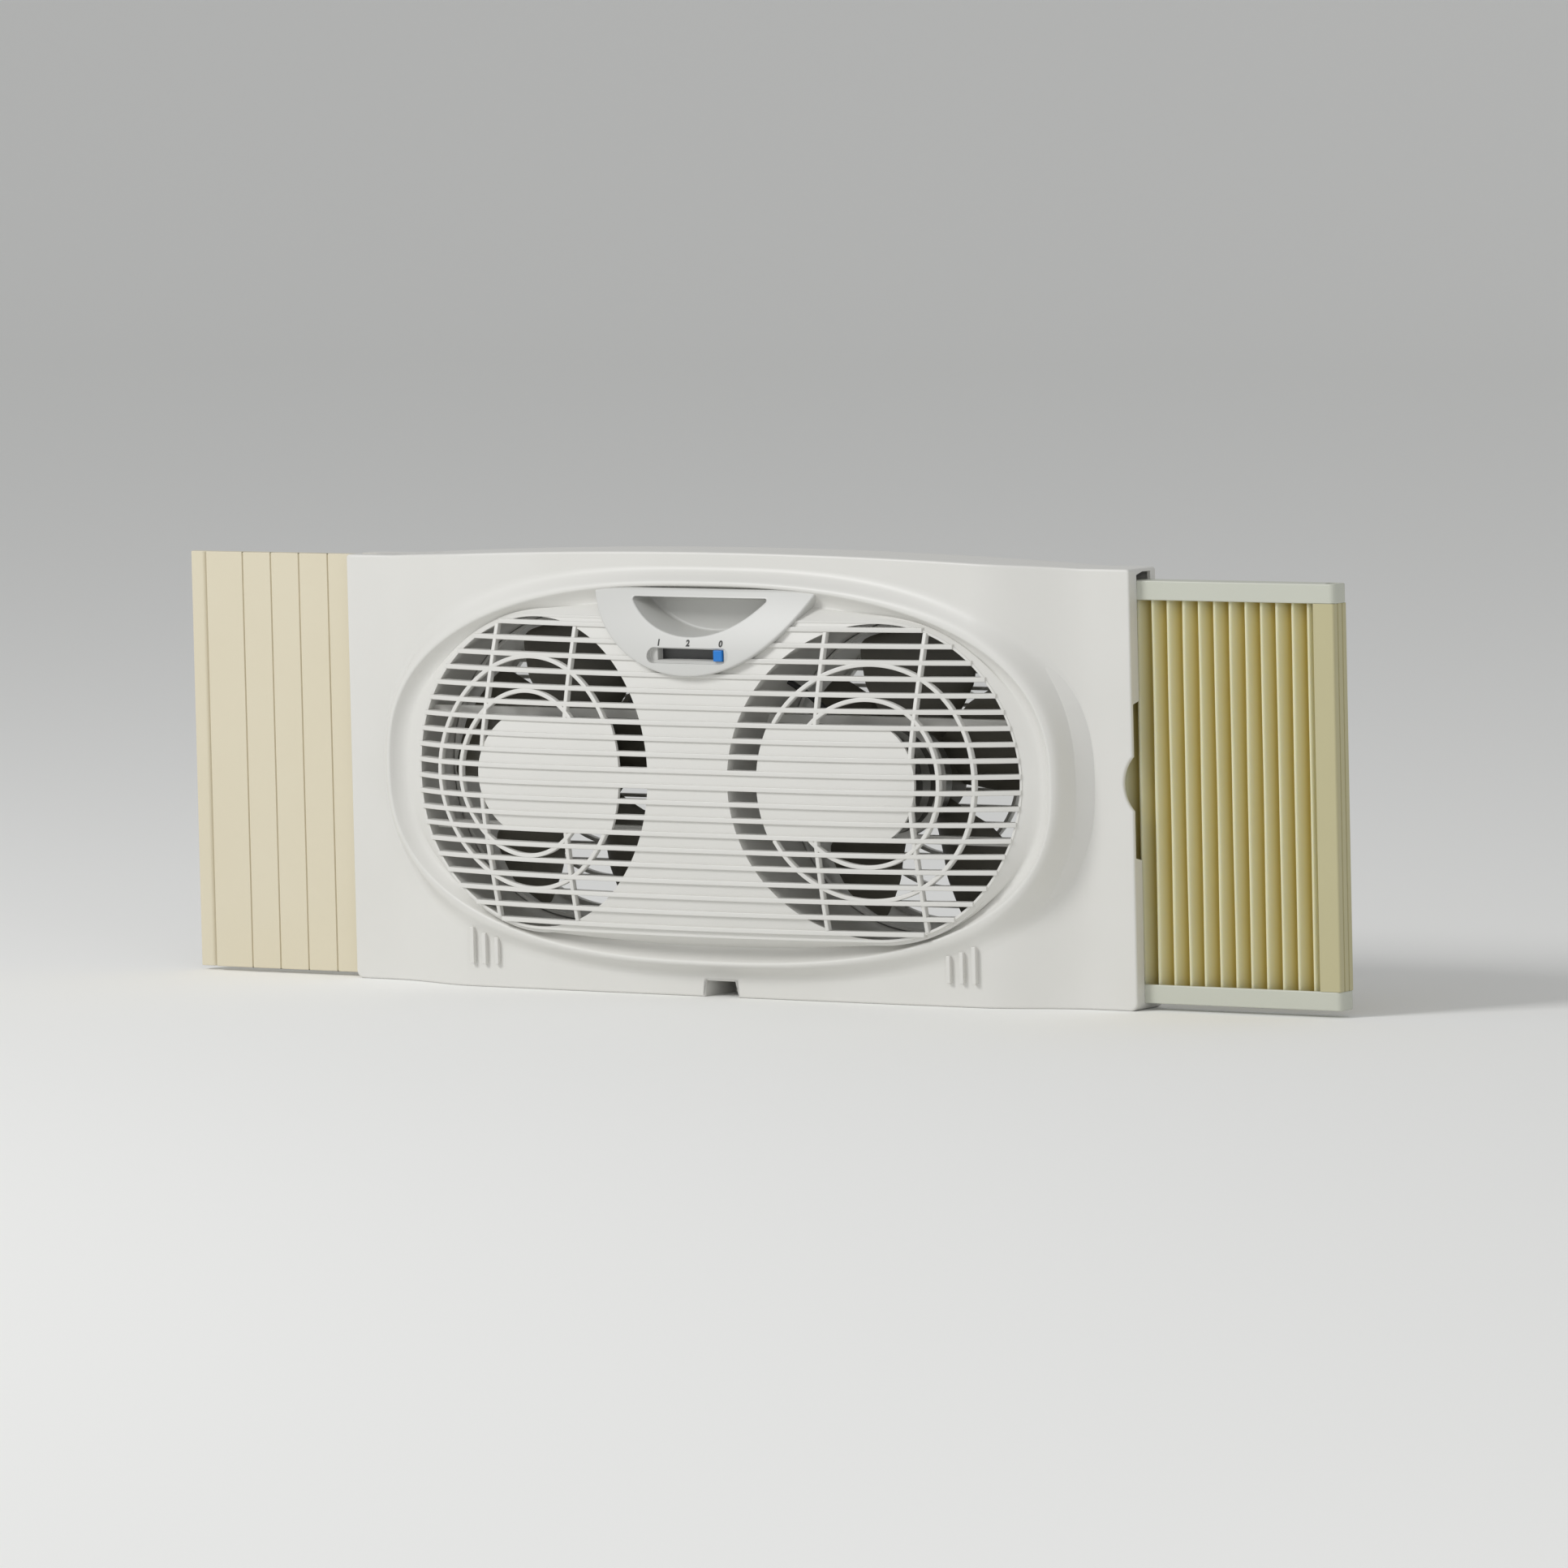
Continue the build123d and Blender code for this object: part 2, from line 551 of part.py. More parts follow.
def control_bezel():
    """D-shaped bezel with the hand-hold's opening and the slider's slot."""
    bezel = prism(segment(BEZEL_RADIUS, BEZEL_TOP), -FAR, 0) & bezel_side(0, BEZEL_BACK)
    hollow = prism(segment(BEZEL_RADIUS - RIDGE_LAND, BEZEL_TOP - RIDGE_LAND), -FAR, 0)
    bezel -= hollow & bezel_side(WALL, BEZEL_BACK + 1)
    tray = Pos(0, SLOT_Z) * SlotOverall(SLOT_WIDTH + 2 * SLOT_WALL, SLOT_HEIGHT + 2 * SLOT_WALL)
    bezel += prism(tray, -FAR, SWITCH_FRONT) & bezel_side(0, BEZEL_BACK)
    bezel -= prism(Pos(0, SLOT_Z) * SlotOverall(SLOT_WIDTH, SLOT_HEIGHT), -FAR, SLOT_FLOOR)
    bezel -= block(WINDOW_X, (-FAR, SWITCH_FRONT + 1), WINDOW_Z)
    return bezel - prism(cup_outline(0), -FAR, 0)


def handle_cup():
    """Cup behind the hand-hold's opening."""
    cup = prism(cup_outline(CUP_WALL), -FAR, 0) & bezel_side(WALL, CUP_BACK)
    return cup - prism(cup_outline(0), -FAR, CUP_BACK - CUP_WALL)


def switch_body():
    """Slide switch: a box behind the slot with a track for the contact carrier."""
    body = block(SWITCH_X, (SWITCH_FRONT, SWITCH_BACK), SWITCH_Z)
    return body - block(TRACK_X, (SWITCH_FRONT - 1, TRACK_BACK), TRACK_Z)


def switch_carrier():
    """Contact carrier in the switch's track."""
    across = (KNOB_X - CARRIER_WIDTH / 2, KNOB_X + CARRIER_WIDTH / 2)
    return block(across, (SWITCH_FRONT + FIT, TRACK_BACK - FIT), (TRACK_Z[0] + FIT, TRACK_Z[1] - FIT))


def speed_knob():
    """Blue knob on the carrier, standing in the slot."""
    knob = block((KNOB_X - KNOB_WIDTH / 2, KNOB_X + KNOB_WIDTH / 2), (KNOB_FRONT, SWITCH_FRONT + FIT), KNOB_Z)
    return fillet(knob.edges().group_by(Axis.Y)[0], 0.6)


# === One fan, drawn about its own axis and moved to its place ===============================================================
def tube(outer, inner, front, back):
    """Ring along Y about the fan's axis."""
    return prism(Circle(outer) - Circle(inner), front, back)


def bolt_places():
    """The four corners at which the motor's through bolts stand."""
    return [(BOLT_CIRCLE * cos(a), BOLT_CIRCLE * sin(a)) for a in (pi / 4 + i * pi / 2 for i in range(4))]


def bolts():
    """Through bolts with heads in front of the motor."""
    front = STATOR_Y[0] - BELL_DEPTH
    back = STATOR_Y[1] + BELL_DEPTH
    made = []
    for x, z in bolt_places():
        made.append(rod(x, z, BOLT_RADIUS, front, back) + rod(x, z, BOLT_HEAD_RADIUS, front - 2, front))
    return made


def bolt_holes():
    """Holes for the through bolts."""
    return [rod(x, z, BOLT_RADIUS, -FAR, 0) for x, z in bolt_places()]


def stator():
    """Laminated stack with a round bore."""
    return tube(MOTOR_RADIUS, STATOR_BORE, *STATOR_Y) - bolt_holes()


def coils():
    """Winding heads in front of and behind the stack."""
    front = tube(COIL_RADII[1], COIL_RADII[0], STATOR_Y[0] - COIL_LENGTH, STATOR_Y[0])
    back = tube(COIL_RADII[1], COIL_RADII[0], STATOR_Y[1], STATOR_Y[1] + COIL_LENGTH)
    return [front, back]


def bell(front, back, hole):
    """End bell with its closed side at the first depth, a bearing seat and a hole for the shaft."""
    way = 1 if back > front else -1
    inside = front + way * BELL_PLATE
    seat_end = inside + way * BEARING_LENGTH
    shell = rod(0, 0, MOTOR_RADIUS, *sorted((front, back)))
    shell -= rod(0, 0, BELL_INSIDE, *sorted((inside, back)))
    shell += rod(0, 0, BEARING_SEAT, *sorted((inside, seat_end)))
    shell -= rod(0, 0, BEARING_RADIUS, *sorted((inside, seat_end)))
    if hole:
        shell -= rod(0, 0, SHAFT_RADIUS + 1, *sorted((front, inside)))
    return shell - bolt_holes()


def bearing(start, way):
    """Sleeve bearing in a bell's seat."""
    ends = sorted((start, start + way * BEARING_LENGTH))
    return tube(BEARING_RADIUS, SHAFT_RADIUS + FIT, *ends)


def bracket():
    """Ring round the motor on two level arms that reach the duct's wall."""
    frame = rod(0, 0, BRACKET_RING, *BRACKET_Y)
    for offset in (-ARM_OFFSET, ARM_OFFSET):
        arm = Pos(0, offset) * Rectangle(2 * OPENING_RADIUS, ARM_HEIGHT)
        frame += prism(arm & Circle(OPENING_RADIUS), *BRACKET_Y)
    return frame - rod(0, 0, MOTOR_RADIUS, -FAR, 0)


def blade():
    """One leaf blade: three flat sections with falling pitch, cut to the impeller's radius."""
    sections = []
    for radius, chord, pitch in BLADE_SECTIONS:
        turn = radians(pitch)
        plane = Plane(origin=(0, BLADE_Y, radius), x_dir=(cos(turn), sin(turn), 0), z_dir=(0, 0, 1))
        sections.append(plane * RectangleRounded(chord, BLADE_THICK, BLADE_THICK * 0.45))
    return loft(sections) & rod(0, 0, BLADE_RADIUS, -FAR, FAR)


def impeller():
    """Hub with a sleeve for the shaft and broad leaf blades."""
    wheel = rod(0, 0, HUB_RADIUS, *HUB_Y)
    leaf = blade()
    wheel += [Rot(0, 360 * i / BLADE_COUNT, 0) * leaf for i in range(BLADE_COUNT)]
    hollow = rod(0, 0, HUB_RADIUS - WALL, HUB_Y[0] + WALL, HUB_Y[1] + 1)
    wheel -= hollow - rod(0, 0, HUB_SLEEVE, HUB_Y[0], HUB_Y[1])
    return wheel - rod(0, 0, SHAFT_RADIUS, -FAR, FAR)


def impeller_nut():
    """Six-sided nut behind the hub."""
    face = RegularPolygon(NUT_ACROSS / 2, 6, major_radius=False) - Circle(SHAFT_RADIUS)
    return prism(face, HUB_Y[1], HUB_Y[1] + NUT_HEIGHT)


def fan(side):
    """All pieces of one fan, by node name, in their place."""
    name = "left" if side < 0 else "right"
    front = STATOR_Y[0] - BELL_DEPTH
    back = STATOR_Y[1] + BELL_DEPTH
    pieces = {
        "motor_bracket": bracket(),
        "stator": stator(),
        "coils": coils(),
        "front_bell": bell(front, STATOR_Y[0], hole=False),
        "rear_bell": bell(back, STATOR_Y[1], hole=True),
        "front_bearing": bearing(front + BELL_PLATE, 1),
        "rear_bearing": bearing(back - BELL_PLATE, -1),
        "motor_bolts": bolts(),
        "rotor": tube(ROTOR_RADIUS, SHAFT_RADIUS, *ROTOR_Y),
        "shaft": rod(0, 0, SHAFT_RADIUS, *SHAFT_Y),
        "impeller": impeller(),
        "impeller_nut": impeller_nut(),
    }
    place = Pos(side * FAN_X, 0, FAN_Z)
    return {f"{name}_{key}": place * (Part() + piece) for key, piece in pieces.items()}


# === Right expander and left panel =============================================================================================
def rail(height, open_side):
    """Channel rail with a closed, rounded outer end; open upwards (1) or downwards (-1)."""
    body = block(RAIL_X, RAIL_Y, height)
    outer = body.edges().filter_by(Axis.Z).group_by(Axis.X)[-1]
    body = fillet(outer, RAIL_CORNER)
    inside_y = (RAIL_Y[0] + RAIL_WALL, RAIL_Y[1] - RAIL_WALL)
    low = height[0] + RAIL_WALL if open_side > 0 else height[0] - 1
    high = height[1] + 1 if open_side > 0 else height[1] - RAIL_WALL
    return body - block((RAIL_X[0] - 1, RAIL_X[1] - WALL), inside_y, (low, high))


def top_rail():
    """Upper rail, with a hole for a screw or a peg near its outer end."""
    hole = Pos(RAIL_HOLE_X, sum(RAIL_Y) / 2, TOP_RAIL_Z[1]) * Cylinder(RAIL_HOLE_RADIUS, 3 * RAIL_WALL)
    return rail(TOP_RAIL_Z, -1) - hole


def end_post():
    """Upright between the rails' outer ends, with two grooves down its side."""
    post = block(POST_X, RAIL_Y, (LOW_RAIL_Z[1], TOP_RAIL_Z[0]))
    third = (RAIL_Y[1] - RAIL_Y[0]) / 3
    for i in (1, 2):
        y = RAIL_Y[0] + i * third
        across = (POST_X[1] - POST_GROOVE, POST_X[1] + 1)
        post -= block(across, (y - POST_GROOVE / 2, y + POST_GROOVE / 2), (0, END_HEIGHT))
    return post


def pleated_sheet():
    """Zigzag sheet between the clamp strip and the end post."""
    step = (PLEAT_X[1] - PLEAT_X[0]) / (2 * PLEAT_COUNT)
    front = []
    for i in range(2 * PLEAT_COUNT + 1):
        y = PLEAT_Y[0] if i % 2 else PLEAT_Y[1] - PLEAT_SHEET
        front.append((PLEAT_X[0] + i * step, y))
    back = [(x, y + PLEAT_SHEET) for x, y in reversed(front)]
    return slab(make_face(Polyline(*front, *back, close=True)), *PLEAT_Z)


def left_panel():
    """Flat filler panel with V-shaped grooves down its front."""
    panel = block(PANEL_X, PANEL_Y, PANEL_Z)
    for x in PANEL_GROOVES:
        notch = Polyline((x - PANEL_GROOVE, PANEL_Y[0]), (x, PANEL_Y[0] + PANEL_GROOVE),
                         (x + PANEL_GROOVE, PANEL_Y[0]), close=True)
        panel -= slab(make_face(notch), 0, END_HEIGHT)
    return panel


def panel_edge():
    """Edge strip of the left panel, a little behind its front face."""
    return block(PANEL_EDGE_X, (PANEL_Y[0] + PANEL_EDGE_STEP, PANEL_Y[1]), PANEL_Z)


def clamp_strip():
    """Strip in the housing that holds the pleated sheet's inner end."""
    return block(CLAMP_X, CLAMP_Y, CLAMP_Z)


os.makedirs("parts", exist_ok=True)
save("front_shell", front_shell())
save("rear_shell", rear_shell())
save("shell_screws", shell_screws())
save("cord_gland", cord_gland())
save("front_grille", front_grille())
save("control_bezel", control_bezel())
save("handle_cup", handle_cup())
save("switch_body", switch_body())
save("switch_carrier", switch_carrier())
save("speed_knob", speed_knob())
for side, name in ((-1, "left"), (1, "right")):
    save(f"{name}_inlet_ring", inlet_ring(side))
    save(f"{name}_rear_guard", rear_guard(side))
    save(f"{name}_motor_lead", lead(side))
    for node, solid in fan(side).items():
        save(node, solid)
save("expander_top_rail", top_rail())
save("expander_bottom_rail", rail(LOW_RAIL_Z, 1))
save("expander_end_post", end_post())
save("pleated_sheet", pleated_sheet())
save("clamp_strip", clamp_strip())
save("left_panel", left_panel())
save("left_panel_edge", panel_edge())
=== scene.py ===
import bmesh
import bpy
import numpy as np
from mathutils import Matrix, Vector


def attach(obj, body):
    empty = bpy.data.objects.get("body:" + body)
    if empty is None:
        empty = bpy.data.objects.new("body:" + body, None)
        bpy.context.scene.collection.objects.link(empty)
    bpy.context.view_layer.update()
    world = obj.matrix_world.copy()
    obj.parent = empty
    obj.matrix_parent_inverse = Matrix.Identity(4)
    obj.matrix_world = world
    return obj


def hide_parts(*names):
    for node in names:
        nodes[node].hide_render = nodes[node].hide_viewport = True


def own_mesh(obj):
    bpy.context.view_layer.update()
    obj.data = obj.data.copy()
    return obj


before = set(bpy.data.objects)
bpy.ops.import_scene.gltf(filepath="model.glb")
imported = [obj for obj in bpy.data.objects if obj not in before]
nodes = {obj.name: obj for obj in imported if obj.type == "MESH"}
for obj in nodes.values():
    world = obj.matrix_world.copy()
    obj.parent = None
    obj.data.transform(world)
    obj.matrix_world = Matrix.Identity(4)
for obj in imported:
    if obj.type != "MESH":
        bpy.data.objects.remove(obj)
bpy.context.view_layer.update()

# Twin window fan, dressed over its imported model. Lengths are in millimetres and turn into metres when a
# mesh is made: X to the right, Y backwards from the plane where the two shells meet, Z up from the sill.
scene = bpy.context.scene


# === Camera ===
# A long lens a little above the fan and about 34 degrees round to its right, turned slightly on its axis.
CAMERA_PLACE = (4801.84, -7108.87, 850.90)
CAMERA_TURN = (0.0816417, 0.5910571, -0.0230016)     # tilt, pan and roll, in radians
CAMERA_LENS = 276.28
CAMERA_SENSOR = 36.0
CAMERA_SIGHT = 60.0            # farthest that the camera sees, in metres


def put(name, data):
    """New object in the scene."""
    made = bpy.data.objects.new(name, data)
    scene.collection.objects.link(made)
    return made


def lens_axes(tilt, pan, roll):
    """Rows are the image's right, image's down and the line of sight, for a camera that starts level
    and looks along +Y, then pans about the upright axis, tilts and rolls."""
    level = Matrix(((1, 0, 0), (0, 0, -1), (0, 1, 0)))
    turns = Matrix.Rotation(roll, 3, "Z") @ Matrix.Rotation(tilt, 3, "X") @ Matrix.Rotation(pan, 3, "Y")
    return turns @ level


right, down, ahead = lens_axes(*CAMERA_TURN)
camera = put("camera", bpy.data.cameras.new("camera"))
turn = Matrix((right, -down, -ahead)).transposed().to_4x4()
camera.matrix_world = Matrix.Translation(Vector(CAMERA_PLACE) / 1000) @ turn
camera.data.lens = CAMERA_LENS
camera.data.sensor_width = CAMERA_SENSOR
camera.data.clip_end = CAMERA_SIGHT
scene.camera = camera


# === Front shell of the housing ===
# One deep injection-moulded shell of off-white ABS: a flat flange, a face that swells over the fans, a
# raised oval lip and a dished surround that climbs to the grille. Its edges are rounded by the mould.
WIDTH = 673.0
END_HEIGHT = 310.0
CROWN_HEIGHT = 318.2           # at the middle of the arc along the top
CROWN_HALF = 295.0             # half the length of that arc
FLANGE = 18.0                  # from the joint between the shells to the flange's face
WALL = 2.5
LOW_CORNER = 6.0
TOP_CORNER = 2.5
EDGE_ROUND = 1.6
SWELL_SIDE = 20.0              # rise of the face at the outer side of the fans, and at the middle
SWELL_MIDDLE = 22.0
SWELL_X = 216.0                # the face falls from here
FLAT_X = 303.0                 # to the flat flange here
FINGER_Z = 159.6
FINGER_HALF = 19.1
FINGER_DEPTH = 7.8
NOTCH_HALF = 14.3
NOTCH_HEIGHT = 11.5
NOTCH_DRAFT = 1.2
SIDE_CUT_Z = (105.5, 217.3)    # where the right side is cut back beside the finger notch
MOUTH_Z = (4.8, 307.5)         # where the expander slides in
PANEL_MOUTH_X = -262.0         # the top is open to the left panel outside this
FAN_X = 145.65
FAN_Z = 159.0
OPENING_RADIUS = 111.5
GRILLE_HALF_HEIGHT = 113.5
DOME_TOP = 60.9
DOME_FALL = 36.0
DOME_REACH = 257.0
DOME_POWER = 1.3               # how sharply it falls to the ends, far above and below the fans' axes
DOME_POWER_MORE = 3.4          # and how much more sharply at their level
DOME_POWER_REACH = 55.0
DOME_LEAN = 15.0               # fall to the top and to the bottom at the reach below
DOME_LEAN_REACH = 121.0
DOME_TILT = 3.0                # and how much further it falls to the top
LIP_HALF_WIDTH = 284.5
LIP_HALF_HEIGHT = 135.5
LIP_SQUARENESS = 2.47          # exponent of the oval, 2 would be an ellipse
LIP_Z = (159.4, 161.0)         # height of the oval's middle line at its ends and at its middle
LIP_HEIGHT = (25.8, 35.0)      # of the lip above the flange, at the ends and at the middle
LIP_SLOPE = (20.5, 11.0)       # width of the slope outside the lip, at the ends and at the middle
DISH_DEPTH = 7.5
DISH_WIDTH = 12.0              # from the lip to the lowest line of the dish
DISH_ROWS = 4                  # rows of the mesh to each control row of the dish, the lip and its slope
FACE_ROWS = 26
CONTROL_HALF = 79.0            # behind the control bezel the dish stops short, to leave room for the cup
CONTROL_Z = 289.4


def linear(code):
    """Linear red, green, blue and alpha from an sRGB hex code."""
    part = np.array([int(code[i:i + 2], 16) for i in (1, 3, 5)]) / 255
    return (*np.where(part <= 0.04045, part / 12.92, ((part + 0.055) / 1.055) ** 2.4), 1.0)


def add(tree, kind, inputs=(), **settings):
    """Add a node to a material with its settings, and fill its sockets with values or links."""
    made = tree.nodes.new(kind)
    for name, value in settings.items():
        setattr(made, name, value)
    for name, value in dict(inputs).items():
        if isinstance(value, bpy.types.NodeSocket):
            tree.links.new(value, made.inputs[name])
        else:
            made.inputs[name].default_value = value
    return made


def plain(name, values):
    """New material whose skin has plain values, by socket."""
    material = bpy.data.materials.new(name)
    material.use_nodes = True
    for socket, value in values.items():
        material.node_tree.nodes["Principled BSDF"].inputs[socket].default_value = value
    return material


def pattern(material, drift, mark, colour, shade, roughness, swing, strength, relief):
    """Give a material a colour that drifts from one to a second with one pattern, and a gloss that swings
    about its roughness and a relief in millimetres with another."""
    tree = material.node_tree
    tint = add(tree, "ShaderNodeMix", {0: drift, 6: linear(colour), 7: linear(shade)}, data_type="RGBA")
    gloss = add(tree, "ShaderNodeMapRange",
                {"Value": mark, "To Min": roughness - swing, "To Max": roughness + swing})
    bump = add(tree, "ShaderNodeBump", {"Height": mark, "Strength": strength, "Distance": relief / 1000})
    for socket, source in (("Base Color", tint.outputs[2]), ("Roughness", gloss.outputs["Result"]),
                           ("Normal", bump.outputs["Normal"])):
        tree.links.new(source, tree.nodes["Principled BSDF"].inputs[socket])
    return material


def noise(material, size, detail):
    """Cloudy pattern of a size in millimetres, fixed to the piece."""
    tree = material.node_tree
    place = add(tree, "ShaderNodeTexCoord").outputs["Object"]
    settings = {"Vector": place, "Scale": 1000 / size, "Detail": detail}
    return add(tree, "ShaderNodeTexNoise", settings).outputs["Fac"]


def moulded(name, colour, shade, roughness, grain=0.6, relief=0.02, mottle=60.0):
    """Moulded plastic: a base colour that drifts a little towards a second one over some centimetres, a
    fine spark-eroded grain in the gloss, and a relief of that grain. Sizes in millimetres."""
    material = plain(name, {"IOR": 1.52})
    drift, fine = noise(material, mottle, 3.0), noise(material, grain, 2.0)
    return pattern(material, drift, fine, colour, shade, roughness, 0.06, 0.35, relief)


def loops(rows, columns, close_rows=False, close_columns=False):
    """Quads between neighbouring rows and columns of a grid whose points are numbered row by row."""
    row = np.arange(rows if close_rows else rows - 1)[:, None]
    column = np.arange(columns if close_columns else columns - 1)[None, :]
    row_after = (row + 1) % rows
    column_after = (column + 1) % columns
    corners = (row * columns + column, row * columns + column_after,
               row_after * columns + column_after, row_after * columns + column)
    return np.stack([np.broadcast_to(c, (row.size, column.size)) for c in corners], -1).reshape(-1, 4)


def wrapped(rows):
    """Closed surface of closed rows, of which the last joins the first."""
    return rows.reshape(-1, 3), loops(*rows.shape[:2], True, True)


def merge(mesh, near, outwards=True):
    """Merge a mesh's points that are closer than a distance in metres, and turn its normals outwards."""
    form = bmesh.new()
    form.from_mesh(mesh)
    bmesh.ops.remove_doubles(form, verts=form.verts, dist=near)
    if outwards:
        bmesh.ops.recalc_face_normals(form, faces=form.faces)
    form.to_mesh(mesh)
    form.free()


def surface(name, grids):
    """Mesh of (points, quads) pairs."""
    start = np.cumsum([0] + [len(points) for points, _ in grids[:-1]])
    points = np.concatenate([points for points, _ in grids]) / 1000
    quads = np.concatenate([quads + first for (_, quads), first in zip(grids, start)])
    mesh = bpy.data.meshes.new(name)
    mesh.from_pydata(points.tolist(), [], quads.tolist())
    merge(mesh, 1e-6)
    return mesh


def piece(name, grids, material, body, smooth=40.0):
    """Object from (points, quads) pairs, on which faces under the angle between them are shaded smooth; it
    rides on a body."""
    mesh = surface(name, grids)
    mesh.materials.append(material)
    mesh.shade_smooth()
    mesh.set_sharp_from_angle(angle=np.radians(smooth))
    made = put(name, mesh)
    even = made.modifiers.new("even_shading", "WEIGHTED_NORMAL")
    even.keep_sharp = True
    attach(made, body)
    return made


def straight(start, end, step=2.0):
    """Points from a start up to just before an end, evenly spaced by at most the step."""
    start, end = np.array(start), np.array(end)
    share = np.linspace(0, 1, int(np.ceil(np.hypot(*(end - start)) / step)) + 1)[:-1, None]
    return start + (end - start) * share


def bend(centre, radius, first, last, count):
    """Points on a circular arc between two angles in degrees, without the last one."""
    angle = np.radians(np.linspace(first, last, count + 1)[:-1])
    return np.stack([centre[0] + radius * np.cos(angle), centre[1] + radius * np.sin(angle)], 1)


def arc_over(half, rise):
    """Radius of an arc, and its half angle in degrees, from half its chord and its rise."""
    radius = (half ** 2 + rise ** 2) / (2 * rise)
    return radius, np.degrees(np.arcsin(half / radius))


def housing_outline(notched=True):
    """The housing seen from the front, anticlockwise from the notch in its foot: round lower corners, a
    crowned top as one long arc, and a finger notch as an arc in the right side. The rear shell has neither
    notch."""
    half, corner = WIDTH / 2, TOP_CORNER
    crown, swing = arc_over(CROWN_HALF, CROWN_HEIGHT - END_HEIGHT)
    if notched:
        finger, reach = arc_over(FINGER_HALF, FINGER_DEPTH)
        finger_side = [straight((half, SIDE_CUT_Z[0]), (half, FINGER_Z - FINGER_HALF)),
                       bend((half - FINGER_DEPTH + finger, FINGER_Z), finger, 180 + reach, 180 - reach, 30),
                       straight((half, FINGER_Z + FINGER_HALF), (half, SIDE_CUT_Z[1]))]
        notch, roof = NOTCH_HALF, NOTCH_HALF - NOTCH_DRAFT
        foot = [straight((-notch, 0), (-roof, NOTCH_HEIGHT), 1.0),
                straight((-roof, NOTCH_HEIGHT), (roof, NOTCH_HEIGHT), 1.0),
                straight((roof, NOTCH_HEIGHT), (notch, 0), 1.0)]
    else:
        finger_side = [straight((half, SIDE_CUT_Z[0]), (half, SIDE_CUT_Z[1]))]
        notch, foot = 0.0, []
    return np.concatenate([
        straight((notch, 0), (half - LOW_CORNER, 0)),
        bend((half - LOW_CORNER, LOW_CORNER), LOW_CORNER, -90, 0, 10),
        straight((half, LOW_CORNER), (half, SIDE_CUT_Z[0])), *finger_side,
        straight((half, SIDE_CUT_Z[1]), (half, END_HEIGHT - corner)),
        bend((half - corner, END_HEIGHT - corner), corner, 0, 90, 6),
        straight((half - corner, END_HEIGHT), (CROWN_HALF, END_HEIGHT)),
        bend((0, CROWN_HEIGHT - crown), crown, 90 - swing, 90 + swing, 180),
        straight((-CROWN_HALF, END_HEIGHT), (corner - half, END_HEIGHT)),
        bend((corner - half, END_HEIGHT - corner), corner, 90, 180, 6),
        straight((-half, END_HEIGHT - corner), (-half, LOW_CORNER)),
        bend((LOW_CORNER - half, LOW_CORNER), LOW_CORNER, 180, 270, 10),
        straight((LOW_CORNER - half, 0), (-notch, 0)), *foot])


def outward(line):
    """Unit normals of a closed anticlockwise line, from its neighbours' chord."""
    chord = np.roll(line, -1, 0) - np.roll(line, 1, 0)
    normal = np.stack([chord[:, 1], -chord[:, 0]], 1)
    return normal / np.hypot(*normal.T)[:, None]


def swell(x):
    """Height of the plain face over the flange: flat ends, an S-curve, and a shallow arc between."""
    x = np.abs(x)
    share = np.clip((FLAT_X - x) / (FLAT_X - SWELL_X), 0, 1)
    rise = SWELL_SIDE * share ** 2 * (3 - 2 * share)
    return rise + (SWELL_MIDDLE - SWELL_SIDE) * np.clip(1 - (x / SWELL_X) ** 2, 0, 1)


def dome(x, z):
    """Height of the grille's front over the flange: it falls to both ends, most sharply at the level of the
    fans' axes, and to its top and bottom, a little more at the top."""
    power = DOME_POWER + DOME_POWER_MORE / (1 + ((z - FAN_Z) / DOME_POWER_REACH) ** 2)
    ends = DOME_FALL * np.abs(x / DOME_REACH) ** power
    share = (z - FAN_Z) / DOME_LEAN_REACH
    return DOME_TOP - ends - DOME_LEAN * share ** 2 - DOME_TILT * share


def lip_share(x):
    """1 at the middle of the oval lip and 0 at its ends, with a flat run-out."""
    return np.clip(1 - (x / LIP_HALF_WIDTH) ** 2, 0, 1) ** 2


def in_directions(line, centre, directions):
    """Points of a closed line that lie in the given directions from a centre."""
    angle = np.arctan2(line[:, 1] - centre[1], line[:, 0] - centre[0])
    order = np.argsort(angle)
    return np.stack([np.interp(directions, angle[order], v[order], period=2 * np.pi) for v in line.T], 1)


def lip_line(directions):
    """Points of the oval lip, a superellipse, in the given directions from the housing's middle."""
    turn = np.linspace(-np.pi, np.pi, 20001)
    power = 2 / LIP_SQUARENESS
    x = LIP_HALF_WIDTH * np.sign(np.cos(turn)) * np.abs(np.cos(turn)) ** power
    z = LIP_HALF_HEIGHT * np.sign(np.sin(turn)) * np.abs(np.sin(turn)) ** power
    z += LIP_Z[0] + (LIP_Z[1] - LIP_Z[0]) * lip_share(x)
    return in_directions(np.stack([x, z], 1), (0, FAN_Z), directions)


def grille_edge(points, reach):
    """Nearest points on the grille's long round-ended outline."""
    spine = np.stack([np.clip(points[:, 0], -FAN_X, FAN_X), np.full(len(points), FAN_Z)], 1)
    away = points - spine
    return spine + away * reach / np.hypot(*away.T)[:, None]


def rounded(control, steps):
    """Quadratic B-spline through rows of control points, pinned at its first and last row. A row that is
    given twice makes a tighter corner."""
    control = np.concatenate([control[:1], control, control[-1:]])
    made = []
    share = (np.arange(steps) / steps)[:, None, None]
    for before, here, after in zip(control[:-2], control[1:-1], control[2:]):
        start, end = (before + here) / 2, (here + after) / 2
        made.append((1 - share) ** 2 * start + 2 * share * (1 - share) * here + share ** 2 * end)
    return np.concatenate(made + [control[-1:]])


